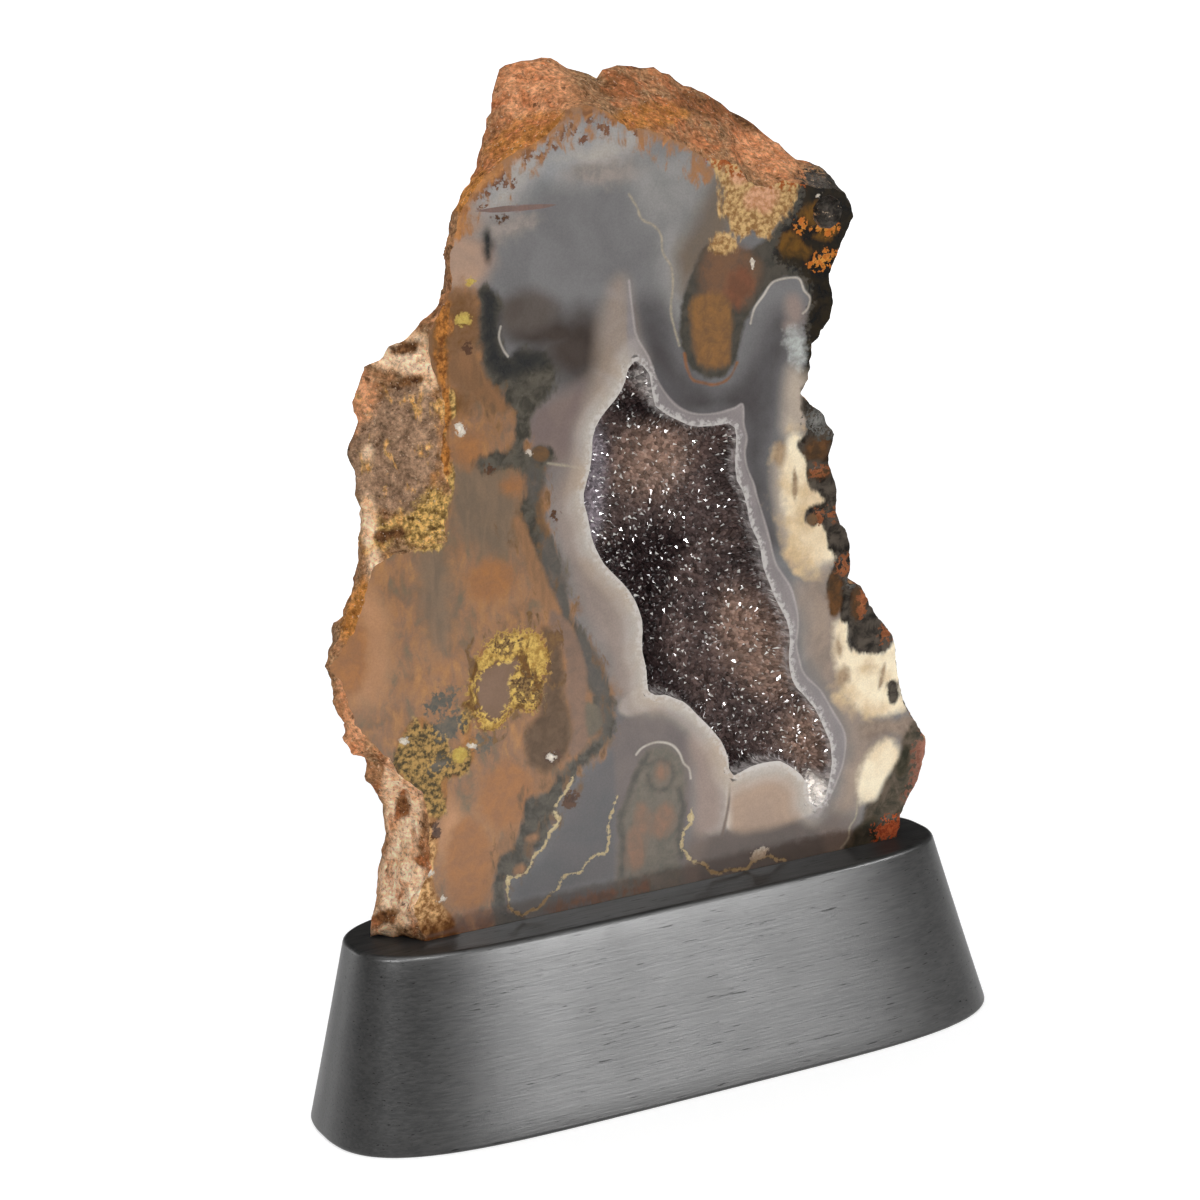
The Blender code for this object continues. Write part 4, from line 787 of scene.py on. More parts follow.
def shape_distance(points, shape):
    """How far inside a marking's shape each point lies, at least minus FAR_OFF."""
    kind, data = shape
    if kind == "spot":
        along, up, half_width, half_height, turn = data
        reach = points - (along, up)
        u = (reach[:, 0] * math.cos(turn) + reach[:, 1] * math.sin(turn)) / half_width
        v = (reach[:, 1] * math.cos(turn) - reach[:, 0] * math.sin(turn)) / half_height
        size = np.hypot(u, v)
        scale = np.where(size > 1e-6, np.hypot(u * half_width, v * half_height)
                         / np.maximum(size, 1e-6), min(half_width, half_height))
        return np.maximum((1.0 - size) * scale, -FAR_OFF)
    reach, line = (FAR_OFF, data) if kind == "area" else data
    smooth = rounded(line, kind != "vein")
    low, high = smooth.min(0) - FAR_OFF, smooth.max(0) + FAR_OFF
    near = ((points > low) & (points < high)).all(1)
    result = np.full(len(points), -FAR_OFF)
    if kind == "vein":
        result[near] = reach - line_distance(points[near], smooth)
    else:
        result[near] = np.minimum(edge_distance(points[near], smooth), reach)
    return np.maximum(result, -FAR_OFF)


def add_values(mesh, name, values, domain="POINT"):
    attribute = mesh.attributes.new(name, "FLOAT", domain)
    attribute.data.foreach_set("value", np.asarray(values, np.float32))


def add_shapes(mesh, name, places, shapes):
    """How far inside the nearest of some shapes each point lies, kept under a name."""
    values = np.max([shape_distance(places, shape) for shape in shapes], axis=0)
    add_values(mesh, name, values)
    return values


def add_markings(mesh, places, markings, roughness_name, roughness):
    """For each point, how far inside each marking it lies, and the roughness they give."""
    rough = np.full(len(places), roughness)
    for name, _, _, _, soft, _, _, own_roughness, shapes in markings:
        values = add_shapes(mesh, name, places, shapes)
        rough += (own_roughness - rough) * np.clip(0.5 + 0.5 * values / soft, 0.0, 1.0)
    add_values(mesh, roughness_name, rough)


def welded(node_name):
    """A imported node's face places and triangles, with its double points joined."""
    body = bmesh.new()
    body.from_mesh(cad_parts[node_name].data)
    bmesh.ops.remove_doubles(body, verts=body.verts, dist=1e-6)
    bmesh.ops.triangulate(body, faces=body.faces)
    body.verts.index_update()
    places = face_places([vertex.co for vertex in body.verts])
    triangles = [[vertex.index for vertex in face.verts] for face in body.faces]
    body.free()
    return places, triangles


def sides(triangle):
    return zip(triangle, triangle[1:] + triangle[:1])


def open_loops(triangles):
    """The open edges as ordered loops of points, longest loop first."""
    ways = {side for triangle in triangles for side in sides(triangle)}
    following = {a: b for a, b in ways if (b, a) not in ways}
    loops = []
    while following:
        first, point = following.popitem()
        loop = [first]
        while point != first:
            loop.append(point)
            point = following.pop(point)
        loops.append(loop)
    return sorted(loops, key=len, reverse=True)


def joined_triangles(triangles, start):
    """The numbers of all triangles joined to the one that holds a point."""
    users = {}
    for number, triangle in enumerate(triangles):
        for point in triangle:
            users.setdefault(point, []).append(number)
    found, waiting = set(), [start]
    seen = {start}
    while waiting:
        for number in users[waiting.pop()]:
            found.add(number)
            fresh = set(triangles[number]) - seen
            seen |= fresh
            waiting.extend(fresh)
    return found


def split(triangle, middles, places):
    """The triangle cut at the middles of its marked sides."""
    cuts = [middles.get((min(side), max(side))) for side in sides(triangle)]
    marked_sides = sum(cut is not None for cut in cuts)
    if marked_sides == 0:
        return [triangle]
    if marked_sides == 3:
        (a, b, c), (ab, bc, ca) = triangle, cuts
        return [[a, ab, ca], [ab, b, bc], [ca, bc, c], [ab, bc, ca]]
    odd_one = [cut is not None for cut in cuts].index(marked_sides == 1)
    a, b, c = triangle[odd_one:] + triangle[:odd_one]
    ab, bc, ca = cuts[odd_one:] + cuts[:odd_one]
    if marked_sides == 1:
        return [[a, ab, c], [ab, b, c]]
    if math.dist(places[a], places[bc]) < math.dist(places[b], places[ca]):
        return [[ca, bc, c], [a, b, bc], [a, bc, ca]]
    return [[ca, bc, c], [a, b, ca], [b, bc, ca]]


def refined(places, triangles, hidden):
    """Splits long edges until the mesh is fine enough, but not inside the hidden wall."""
    places = [list(place) for place in places]
    while True:
        owners = {}
        for triangle, inner in zip(triangles, hidden):
            for side in sides(triangle):
                owners.setdefault((min(side), max(side)), []).append(inner)
        middles = {}
        for (a, b), inner in owners.items():
            middle = [0.5 * (u + v) for u, v in zip(places[a], places[b])]
            limit = RIND_SPACING * (1.0 + max(middle[2], 0.0) / RIND_COARSENING)
            limit = EDGE_SPACING if len(inner) == 1 else limit
            if (len(inner) == 1 or not all(inner)) and math.dist(places[a], places[b]) > limit:
                middles[a, b] = len(places)
                places.append(middle)
        if not middles:
            return np.array(places), triangles, hidden
        pieces = [split(triangle, middles, places) for triangle in triangles]
        hidden = [inner for inner, parts in zip(hidden, pieces) for _ in parts]
        triangles = [part for parts in pieces for part in parts]


def lattice(low, high, spacing):
    """Points of a triangular grid over a rectangle."""
    row_height = spacing * math.sqrt(0.75)
    rows = np.arange(low[1], high[1], row_height)
    columns = np.arange(low[0], high[0], spacing)
    grid = [np.column_stack((columns + 0.5 * spacing * (i % 2), np.full(len(columns), row)))
            for i, row in enumerate(rows)]
    return np.vstack(grid)


def vein_points(markings):
    """Points along each vein's middle and on both its sides."""
    rows = []
    for marking in markings:
        for kind, data in marking[-1]:
            if kind == "vein":
                width, line = data
                middle = resampled(rounded(line, False), VEIN_SPACING)
                travel = np.gradient(middle, axis=0)
                travel /= np.hypot(*travel.T)[:, None]
                normal = np.column_stack((travel[:, 1], -travel[:, 0]))
                rows += [middle, middle + width * normal, middle - width * normal]
    return np.vstack(rows)


def flat_triangles(loops, inner):
    """Triangles over flat points: inside the first loop, outside the others, facing forward."""
    points = np.vstack(loops + [inner])
    edges, first = [], 0
    for loop in loops:
        edges += [(first + i, first + (i + 1) % len(loop)) for i in range(len(loop))]
        first += len(loop)
    flat = [Vector(point) for point in points]
    _, _, faces, sources, _, _ = delaunay_2d_cdt(flat, edges, [], 0, 1e-6, True)
    triangles = np.array([[sources[i][0] for i in face] for face in faces])
    middles = points[triangles].mean(1)
    keep = edge_distance(middles, loops[0]) > 0.0
    for loop in loops[1:]:
        keep &= edge_distance(middles, loop) < 0.0
    triangles = triangles[keep]
    a, b, c = (points[triangles[:, i]] for i in range(3))
    backward = np.cross(b - a, c - a) < 0.0
    triangles[backward] = triangles[backward, ::-1]
    return points, triangles


def level_places(points):
    """Places on the face's own plane."""
    return np.column_stack((points, np.zeros(len(points))))


def clear_of(points, loops, margin):
    """The points that stay clear of the edges: inside the first loop, outside the others."""
    keep = edge_distance(points, loops[0]) > margin
    for loop in loops[1:]:
        keep &= edge_distance(points, loop) < -margin
    return points[keep]


def outward_normals(places, triangles):
    a, b, c = (places[triangles[:, i]] for i in range(3))
    across = -np.cross(b - a, c - a)
    normals = np.zeros_like(places)
    for i in range(3):
        np.add.at(normals, triangles[:, i], across)
    return normals / np.maximum(np.linalg.norm(normals, axis=1), 1e-9)[:, None]


def lump(place, sizes):
    point = Vector(place)
    return sum(noise.noise(point / size) * height for size, height in sizes)


def roughen(places, triangles, hidden, outer):
    """Chips the edge of the face and raises the rind's lumps."""
    normals = outward_normals(places, np.array(triangles))
    still = {point for triangle, inner in zip(triangles, hidden) if inner for point in triangle}
    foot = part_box("agate_stone")[0].z / MM - STAND_HEIGHT
    lift_q, lift_d = math.cos(FACE_LEAN), math.sin(FACE_LEAN)
    on_foot = lift_q * places[:, 1] + lift_d * places[:, 2] < foot + FOOT_GAP
    edge_points = set(outer)
    for point in range(len(places)):
        if point in still or on_foot[point]:
            continue
        if point in edge_points:
            shift = normals[point, :2] / max(np.hypot(*normals[point, :2]), 1e-6)
            chip = noise.noise(Vector(places[point]) / CHIP_SIZE)
            places[point, :2] -= CHIP_DEPTH * (0.5 + chip) * shift
        else:
            share = min(1.0, max(0.0, places[point, 2]) / LUMP_FADE)
            places[point] += share * lump(places[point], RIND_LUMPS) * normals[point]
    sunk = lift_q * places[:, 1] + lift_d * places[:, 2] < FOOT_GAP
    on_foot |= sunk
    places[on_foot, 1] = (FOOT_GAP - lift_d * places[on_foot, 2]) / lift_q


def build_stone():
    """The agate: a finely meshed face with its markings, and a rough, lumpy rind."""
    places, triangles = welded("agate_stone")
    level = np.abs(places[:, 2]) < FLAT_DEPTH
    triangles = [triangle for triangle in triangles if not level[triangle].all()]
    inner_wall = joined_triangles(triangles, open_loops(triangles)[1][0])
    hidden = [number in inner_wall for number in range(len(triangles))]
    places, triangles, hidden = refined(places, triangles, hidden)
    outer, rim, pit = open_loops(triangles)
    roughen(places, triangles, hidden, outer)
    flats = [places[loop, :2] for loop in (outer, rim, pit)]
    grid = lattice(flats[0].min(0), flats[0].max(0), FACE_SPACING)
    inner = clear_of(np.vstack((vein_points(MARKINGS), grid)), flats, 0.5 * EDGE_SPACING)
    _, filling = flat_triangles(flats, inner)
    numbers = np.concatenate((outer, rim, pit, len(places) + np.arange(len(inner))))
    places = np.vstack((places, level_places(inner)))
    every = np.vstack((np.array(triangles), numbers[filling]))
    rough = np.arange(len(every)) < len(triangles)
    return finished("agate_stone_polished", places, every, rough, rough), flats[1]


def placed(data):
    """A scene object of the data's own name."""
    made = bpy.data.objects.new(data.name, data)
    bpy.context.scene.collection.objects.link(made)
    return made


def finished(name, places, triangles, second_material, smooth):
    """A scene object from face places and triangles."""
    points = face_points(places)
    points[:, 2] = np.minimum(points[:, 2], cad_high.z)
    used, triangles = np.unique(triangles, return_inverse=True)
    triangles = triangles.reshape(-1, 3)
    mesh = bpy.data.meshes.new(name)
    mesh.from_pydata(points[used].tolist(), [], triangles.tolist())
    mesh.polygons.foreach_set("material_index", second_material.astype(np.int32))
    mesh.polygons.foreach_set("use_smooth", smooth.astype(bool))
    mesh.update()
    return placed(mesh)


def mesh_places(mesh):
    """Every point of a mesh as places along, up and behind the face."""
    points = np.zeros(3 * len(mesh.vertices), np.float32)
    mesh.vertices.foreach_get("co", points)
    return face_places(points.reshape(-1, 3))


# Hollow and crystals

def beside_hollow(points):
    """How far to the right of the hollow's middle line each flat point lies."""
    up, middle, _ = np.array(HOLLOW_LINE, float).T
    return points[:, 0] - np.interp(points[:, 1], up, middle)


def hollow_depth(points, edge_gap):
    """Depth of the crust's surface at flat points, given their distance from its edge."""
    up, _, depth = np.array(HOLLOW_LINE, float).T
    side = np.clip(beside_hollow(points) / HOLLOW_HALF_WIDTH, -1.0, 1.0)
    floor = np.interp(points[:, 1], up, depth) - CRUST_THICKNESS
    floor -= HOLLOW_RIGHT_RISE * np.maximum(side, 0.0)
    for along, height, half_width, half_height, rise in FLOOR_RISES:
        spread = ((points[:, 0] - along) / half_width) ** 2
        spread += ((points[:, 1] - height) / half_height) ** 2
        floor -= rise * np.exp(-spread)
    floor = np.maximum(floor, HOLLOW_LEAST_DEPTH)
    wall = WALL_WIDTH_LEFT + (WALL_WIDTH_RIGHT - WALL_WIDTH_LEFT) * (0.5 + 0.5 * side)
    share = np.clip(edge_gap / wall, 0.0, 1.0)
    return floor * np.sqrt(1.0 - (1.0 - share) ** 2)


def crust_surface(points, edge):
    """Depth of the crust's surface at flat points, given the loop of its edge."""
    return hollow_depth(points, np.maximum(edge_distance(points, edge), 0.0))


def crust_edge():
    """The loop where the crust's polished rim ends and its crystals begin."""
    places, triangles = welded("quartz_druse")
    level = np.abs(places[:, 2]) < FLAT_DEPTH
    loops = open_loops([triangle for triangle in triangles if level[triangle].all()])
    loops = sorted((places[loop, :2] for loop in loops), key=lambda loop: np.ptp(loop[:, 1]))
    return resampled(np.vstack((loops[-2], loops[-2][:1])), EDGE_SPACING)[:-1]


def strewn(edge, draw):
    """Flat points for crystals inside an edge, closer together where the wall is steep."""
    low, high = edge.min(0), edge.max(0)
    tries = int(TRIES_PER_CELL * np.prod(high - low) / CRYSTAL_SPACING ** 2)
    spots = np.column_stack((draw.uniform(low[0], high[0], tries),
                             draw.uniform(low[1], high[1], tries)))
    gap = edge_distance(spots, edge)
    clear = gap > CRYSTAL_MARGIN
    spots, gap = spots[clear], gap[clear]
    depth = hollow_depth(spots, gap)
    slope = np.hypot(hollow_depth(spots + (WALL_STEP, 0), gap) - depth,
                     hollow_depth(spots, gap + WALL_STEP) - depth) / WALL_STEP
    radii = CRYSTAL_SPACING / np.sqrt(np.sqrt(1.0 + slope ** 2))
    grid, kept = {}, []
    for (along, up), radius in zip(spots, radii):
        column, row = int(along // CRYSTAL_SPACING), int(up // CRYSTAL_SPACING)
        near = (other for i in (-1, 0, 1) for j in (-1, 0, 1)
                for other in grid.get((column + i, row + j), ()))
        if all(math.hypot(along - x, up - y) > radius for x, y in near):
            grid.setdefault((column, row), []).append((along, up))
            kept.append((along, up))
    return np.array(kept)


def crystal_tips(tips, edge, draw):
    """Where the crystals' tips stand: out from the crust, at random heights and tilts."""
    base = crust_surface(tips, edge)
    lean_along = (crust_surface(tips + (NORMAL_STEP, 0), edge) - base) / NORMAL_STEP
    lean_up = (crust_surface(tips + (0, NORMAL_STEP), edge) - base) / NORMAL_STEP
    normal = np.column_stack((lean_along, lean_up, -np.ones(len(tips))))
    normal /= np.linalg.norm(normal, axis=1)[:, None]
    heights = draw.uniform(*CRYSTAL_HEIGHT, len(tips))
    heights *= np.where(draw.uniform(0, 1, len(tips)) < TALL_SHARE, TALL_FACTOR, 1.0)
    tilt = draw.normal(0.0, CRYSTAL_TILT, (len(tips), 3))
    tilt[:, 2] = 0.0
    places = np.column_stack((tips, base)) + heights[:, None] * (normal + tilt)
    places[:, 2] = np.maximum(places[:, 2], LEAST_TIP_DEPTH)
    return places


def crystal_facets(triangles, first_valley):
    """Facets that rise from the valley inside each flat triangle to its three tips."""
    owners = {}
    for valley, triangle in enumerate(triangles.tolist(), first_valley):
        for a, b in sides(triangle):
            owners.setdefault((min(a, b), max(a, b)), []).append((a, b, valley))
    facets, tip_numbers = [], []
    for users in owners.values():
        a, b, left = users[0]
        if len(users) == 1:
            facets.append((a, b, left))
            tip_numbers.append(a)
        else:
            right = users[1][2]
            facets += [(a, right, left), (b, left, right)]
            tip_numbers += [a, b]
    return np.array(facets), tip_numbers


def build_druse(rim):
    """The crust: a polished rim, small faceted crystals, and a plain back."""
    draw = np.random.default_rng(CRYSTAL_SEED)
    edge = crust_edge()
    tips = strewn(edge, draw)
    flat, triangles = flat_triangles([edge], tips)
    valleys = flat[triangles].mean(1)
    valley_places = np.column_stack((valleys, crust_surface(valleys, edge) + VALLEY_DEPTH))
    places = np.vstack((level_places(edge), crystal_tips(tips, edge, draw), valley_places))
    facets, tip_numbers = crystal_facets(triangles, len(flat))

    low, high = rim.min(0), rim.max(0)
    band_inner = clear_of(lattice(low, high, FACE_SPACING), [rim, edge], BAND_MARGIN)
    band_flat, band = flat_triangles([rim, edge], band_inner)
    band_numbers = len(places) + np.arange(len(band_flat))
    band_numbers[len(rim):len(rim) + len(edge)] = np.arange(len(edge))

    back_inner = clear_of(lattice(low, high, BACK_SPACING), [rim], BACK_MARGIN)
    back_flat, back = flat_triangles([rim], back_inner)
    back_depth = hollow_depth(back_flat, edge_distance(back_flat, rim)) + BACK_DEPTH
    back_depth[:len(rim)] = 0.0
    back_numbers = len(places) + len(band_flat) + np.arange(len(back_flat))
    back_numbers[:len(rim)] = band_numbers[:len(rim)]
    front = {tuple(sorted(triangle)) for triangle in band_numbers[band].tolist()}
    single = [tuple(sorted(triangle)) not in front for triangle in back_numbers[back].tolist()]

    places = np.vstack((places, level_places(band_flat), np.column_stack((back_flat, back_depth))))
    every = np.vstack((facets, band_numbers[band], back_numbers[back[single]][:, ::-1]))
    rough = np.ones(len(every), bool)
    rough[len(facets):len(facets) + len(band)] = False
    made = finished("quartz_druse_crystals", places, every, rough, np.zeros(len(every), bool))
    shades, painted_glints = np.zeros((2, len(every)), np.float32)
    shades[:len(facets)] = draw.uniform(0, 1, len(flat))[tip_numbers]
    # Random values that pick the facets painted near white as glints
    painted_glints[:len(facets)] = draw.uniform(0, 1, len(facets))
    add_values(made.data, "crystal", shades, "FACE")
    add_values(made.data, "painted_glint", painted_glints, "FACE")
    return made


# Stand

def shifted_loop(loop, outwards):
    """A closed loop moved outwards by some distance."""
    travel = np.roll(loop, -1, axis=0) - np.roll(loop, 1, axis=0)
    travel /= np.hypot(*travel.T)[:, None]
    return loop + outwards * np.column_stack((travel[:, 1], -travel[:, 0]))


def stand_loop(height):
    """The part's outline at one height, led smoothly through its points."""
    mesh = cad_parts["wooden_stand"].data
    points = {(round(v.co.x / MM, 3), round(v.co.y / MM, 3)) for v in mesh.vertices
              if abs(v.co.z / MM - height) < 0.01}
    ordered = sorted(points, key=lambda point: math.atan2(point[1], point[0]))
    return rounded(ordered, True, STAND_SMOOTHING)


def build_stand():
    """The stand with finely rounded edges."""
    heights = sorted({round(v.co.z / MM, 3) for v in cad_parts["wooden_stand"].data.vertices})
    _, first, *_, last, top = heights
    low, high = stand_loop(first), stand_loop(last)

    def ring(height, inset):
        share = (height - first) / (last - first)
        loop = low + share * (high - low)
        return [(x, y, height) for x, y in shifted_loop(loop, -inset)]

    turns = [0.5 * math.pi * step / STAND_TURNS for step in range(STAND_TURNS + 1)]
    edge = [(STAND_ROUNDING * (1 - math.cos(turn)), STAND_ROUNDING * (1 - math.sin(turn)))
            for turn in turns]
    rise = (top - 2 * STAND_ROUNDING) / STAND_ROWS
    rows = [ring(height, inset) for height, inset in edge]
    rows += [ring(STAND_ROUNDING + rise * row, 0.0) for row in range(1, STAND_ROWS)]
    rows += [ring(top - height, inset) for height, inset in reversed(edge)]

    count = len(rows[0])
    points = [(x * MM, y * MM, z * MM) for row in rows for x, y, z in row]
    faces = [tuple(range(count)), tuple(range(len(points) - count, len(points)))]
    for base in range(0, len(points) - count, count):
        for i in range(count):
            j = (i + 1) % count
            faces.append((base + i, base + j, base + count + j, base + count + i))
    mesh = bpy.data.meshes.new("black_wooden_stand")
    mesh.from_pydata(points, [], faces)
    body = bmesh.new()
    body.from_mesh(mesh)
    bmesh.ops.recalc_face_normals(body, faces=body.faces)
    body.to_mesh(mesh)
    body.free()
    mesh.shade_smooth()
    mesh.set_sharp_from_angle(angle=STAND_SHARPNESS)
    return placed(mesh)


# Materials

def set_inputs(tree, target, inputs):
    """Sets a node's inputs, each to a value or to another node's socket."""
    for name, value in inputs.items():
        if isinstance(value, bpy.types.NodeSocket):
            tree.links.new(value, target.inputs[name])
        else:
            target.inputs[name].default_value = value


def node(tree, kind, inputs=None, **settings):
    made = tree.nodes.new(kind)
    for name, value in settings.items():
        setattr(made, name, value)
    set_inputs(tree, made, inputs or {})
    return made


def math_node(tree, operation, *values):
    return node(tree, "ShaderNodeMath", dict(enumerate(values)), operation=operation).outputs[0]


def times(tree, first, second):
    return math_node(tree, "MULTIPLY", first, second)


def added_times(tree, value, factor, start):
    """The value times the factor, added to the start."""
    return math_node(tree, "MULTIPLY_ADD", value, factor, start)


def scaled(tree, vector, factor):
    """A place or a colour with each of its parts multiplied."""
    return node(tree, "ShaderNodeVectorMath", {0: vector, 1: factor},
                operation="MULTIPLY").outputs[0]


def mix_colours(tree, factor, low, high):
    return node(tree, "ShaderNodeMix", {0: factor, 6: low, 7: high},
                data_type="RGBA").outputs[2]


def ranged(tree, value, low, high, to_low=0.0, to_high=1.0, smooth=True):
    """The value led from one range to another, and held at its ends."""
    kind = "SMOOTHSTEP" if smooth else "LINEAR"
    return node(tree, "ShaderNodeMapRange", {0: value, 1: low, 2: high, 3: to_low, 4: to_high},
                interpolation_type=kind).outputs[0]


def millimetres(tree, stretch=EVEN):
    """Object coordinates in millimetres, each axis divided by its stretch."""
    place = node(tree, "ShaderNodeTexCoord").outputs["Object"]
    return scaled(tree, place, tuple(1.0 / (MM * part) for part in stretch))


def part_of(tree, output, axis):
    """One axis of a texture coordinate."""
    place = node(tree, "ShaderNodeTexCoord").outputs[output]
    return node(tree, "ShaderNodeSeparateXYZ", {0: place}).outputs[axis]


def noise_value(tree, vector, size, detail=3.0, roughness=0.55, distortion=0.0):
    return node(tree, "ShaderNodeTexNoise",
                {"Vector": vector, "Scale": 1.0 / size, "Detail": detail,
                 "Roughness": roughness, "Distortion": distortion}).outputs["Fac"]


def stretched_noise(tree, stretch, *settings):
    return noise_value(tree, millimetres(tree, stretch), *settings)


def value_of(tree, name):
    return node(tree, "ShaderNodeAttribute", attribute_name=name).outputs["Fac"]


def new_material(name):
    material = bpy.data.materials.new(name)
    material.use_nodes = True
    return material, material.node_tree, material.node_tree.nodes["Principled BSDF"]


def bumped(tree, height, strength, distance):
    """The surface's normal, tilted by a height whose full distance is in millimetres."""
    return node(tree, "ShaderNodeBump", {"Height": height, "Strength": strength,
                                         "Distance": distance * MM}).outputs[0]


def pattern_values(tree):
    """The patterns' noises, made once for a material."""
    values = {}
    for name, size, detail, roughness, distortion, stretch, span in PATTERNS:
        value = stretched_noise(tree, stretch, size, detail, roughness, distortion)
        values[name] = ranged(tree, value, *span) if span else value
    return values


def marked(tree, patterns, colour, markings):
    """The colour after the markings are painted one over another."""
    for name, light, dark, pattern, soft, edge_pattern, wobble, _, _ in markings:
        moved = added_times(tree, patterns[edge_pattern], 2.0 * wobble, value_of(tree, name))
        mask = ranged(tree, moved, wobble - soft, wobble + soft)
        paint = mix_colours(tree, patterns[pattern], light, dark)
        colour = mix_colours(tree, mask, colour, paint)
    return colour


def face_material():
    """Polished agate: bands of chalcedony, jasper, moss and granular patches."""
    material, tree, shader = new_material("polished_agate")
    patterns = pattern_values(tree)
    place = millimetres(tree)
    colour = mix_colours(tree, patterns["cloud"], *FACE_BASE)
    colour = marked(tree, patterns, colour, MARKINGS)

    rim_gap = value_of(tree, "rim_gap")
    wavy = added_times(tree, patterns["drift"], BAND_WOBBLE, rim_gap)
    pearl = mix_colours(tree, patterns["cloud"], *PEARL)
    pearl_share = times(tree, value_of(tree, "left_side"), PEARL_SHARE)
    glow = times(tree, ranged(tree, wavy, *PEARL_REACH), pearl_share)
    colour = mix_colours(tree, glow, colour, pearl)

    bands = math_node(tree, "SINE", times(tree, wavy, BAND_RATE))
    bands = times(tree, bands, ranged(tree, rim_gap, *BAND_REACH, 0.0, BAND_STRENGTH))
    fine = noise_value(tree, place, *FACE_GRAIN)
    lightness = times(tree, math_node(tree, "ADD", bands, 1.0),
                      ranged(tree, fine, *FACE_GRAIN_SHADE))
    colour = scaled(tree, colour, lightness)

    # Painted shade: the face grows darker and browner towards its foot, where it meets the stand
    above_foot = added_times(tree, patterns["fray"], FOOT_WOBBLE, value_of(tree, "foot_gap"))
    foot = mix_colours(tree, ranged(tree, above_foot, *FOOT_REACH), FOOT_PAINTED_SHADE, WHITE)
    colour = scaled(tree, colour, foot)

    white = added_times(tree, patterns["crumb"], CRUST_EDGE_WOBBLE, value_of(tree, "crust_gap"))
    white = times(tree, ranged(tree, white, *CRUST_EDGE_REACH), CRUST_EDGE_SHARE)
    colour = mix_colours(tree, white, colour, CRUST_EDGE)

    roughness = value_of(tree, "face_roughness")
    grains = noise_value(tree, place, *MATT_GRAIN)
    height = times(tree, grains, ranged(tree, roughness, *MATT_GRAIN_REACH))
    height = added_times(tree, fine, FACE_GRAIN_RELIEF, height)
    set_inputs(tree, shader, {
        "Base Color": colour, "Roughness": roughness, "IOR": QUARTZ_IOR,
        "Specular IOR Level": ranged(tree, roughness, *SHEEN),
        "Normal": bumped(tree, height, *FACE_BUMP),
    })
    return material


def rind_material():
    """The rough outside: iron-stained, gritty and pitted."""
    material, tree, shader = new_material("rough_rind")
    patterns = pattern_values(tree)
    place = millimetres(tree)
    warm = mix_colours(tree, patterns["mottle"], *RIND_WARM)
    grey = mix_colours(tree, patterns["crumb"], *RIND_GREY)
    colour = mix_colours(tree, patterns["cloud"], warm, grey)
    colour = marked(tree, patterns, colour, RIND_ZONES)
    grit = noise_value(tree, place, *RIND_GRIT)
    colour = scaled(tree, colour, ranged(tree, grit, *RIND_GRIT_SHADE, smooth=False))
    pits = ranged(tree, noise_value(tree, place, *RIND_PITS), *RIND_PITS_REACH)
    colour = mix_colours(tree, times(tree, pits, RIND_PITS_SHARE), colour, RIND_PIT)
    grains = ranged(tree, noise_value(tree, place, *RIND_GRAINS), *RIND_GRAINS_REACH)
    colour = mix_colours(tree, times(tree, grains, RIND_GRAINS_SHARE), colour, RIND_GRAIN)
    cells = node(tree, "ShaderNodeTexVoronoi", {"Vector": place, "Scale": RIND_CELLS_PER_MM})
    height = added_times(tree, cells.outputs[0], RIND_CELL_RELIEF, grit)
    set_inputs(tree, shader, {
        "Base Color": colour, "Roughness": value_of(tree, "rind_roughness"),
        "Specular IOR Level": RIND_SPECULAR,
        "Normal": bumped(tree, height, *RIND_BUMP),
    })
    return material


def crystal_material():
    """Dark smoky quartz, with a few facets painted near white as glints."""
    material, tree, shader = new_material("smoky_quartz")
    place = millimetres(tree)
    patches = ranged(tree, noise_value(tree, place, *QUARTZ_PATCHES), *QUARTZ_PATCHES_REACH)
    colour = mix_colours(tree, patches, *QUARTZ)
    # Zones: painted shade deep in the hollow, and brown and lilac tints made paler on its rises as
    # painted light
    for name, paint, soft, _ in DRUSE_ZONES:
        mask = ranged(tree, value_of(tree, name), -soft, soft)
        colour = mix_colours(tree, mask, colour, paint)
    sugar = noise_value(tree, place, *QUARTZ_SUGAR_GRAIN)
    sugar = added_times(tree, sugar, QUARTZ_SUGAR_WOBBLE, value_of(tree, "crust_gap"))
    sugar = times(tree, ranged(tree, sugar, *QUARTZ_SUGAR_REACH), QUARTZ_SUGAR_SHARE)
    colour = mix_colours(tree, sugar, colour, QUARTZ_SUGAR)
    own = ranged(tree, value_of(tree, "crystal"), 0.0, 1.0, *QUARTZ_SHADES, smooth=False)
    colour = scaled(tree, colour, own)
    # Painted glint: a few facets, at random, are painted near white
    painted_glint = ranged(tree, value_of(tree, "painted_glint"), *QUARTZ_PAINTED_GLINT_SHARE)
    colour = mix_colours(tree, painted_glint, colour, QUARTZ_PAINTED_GLINT)
    set_inputs(tree, shader, {"Base Color": colour, "Roughness": CRYSTAL_ROUGHNESS,
                              "IOR": QUARTZ_IOR})
    return material


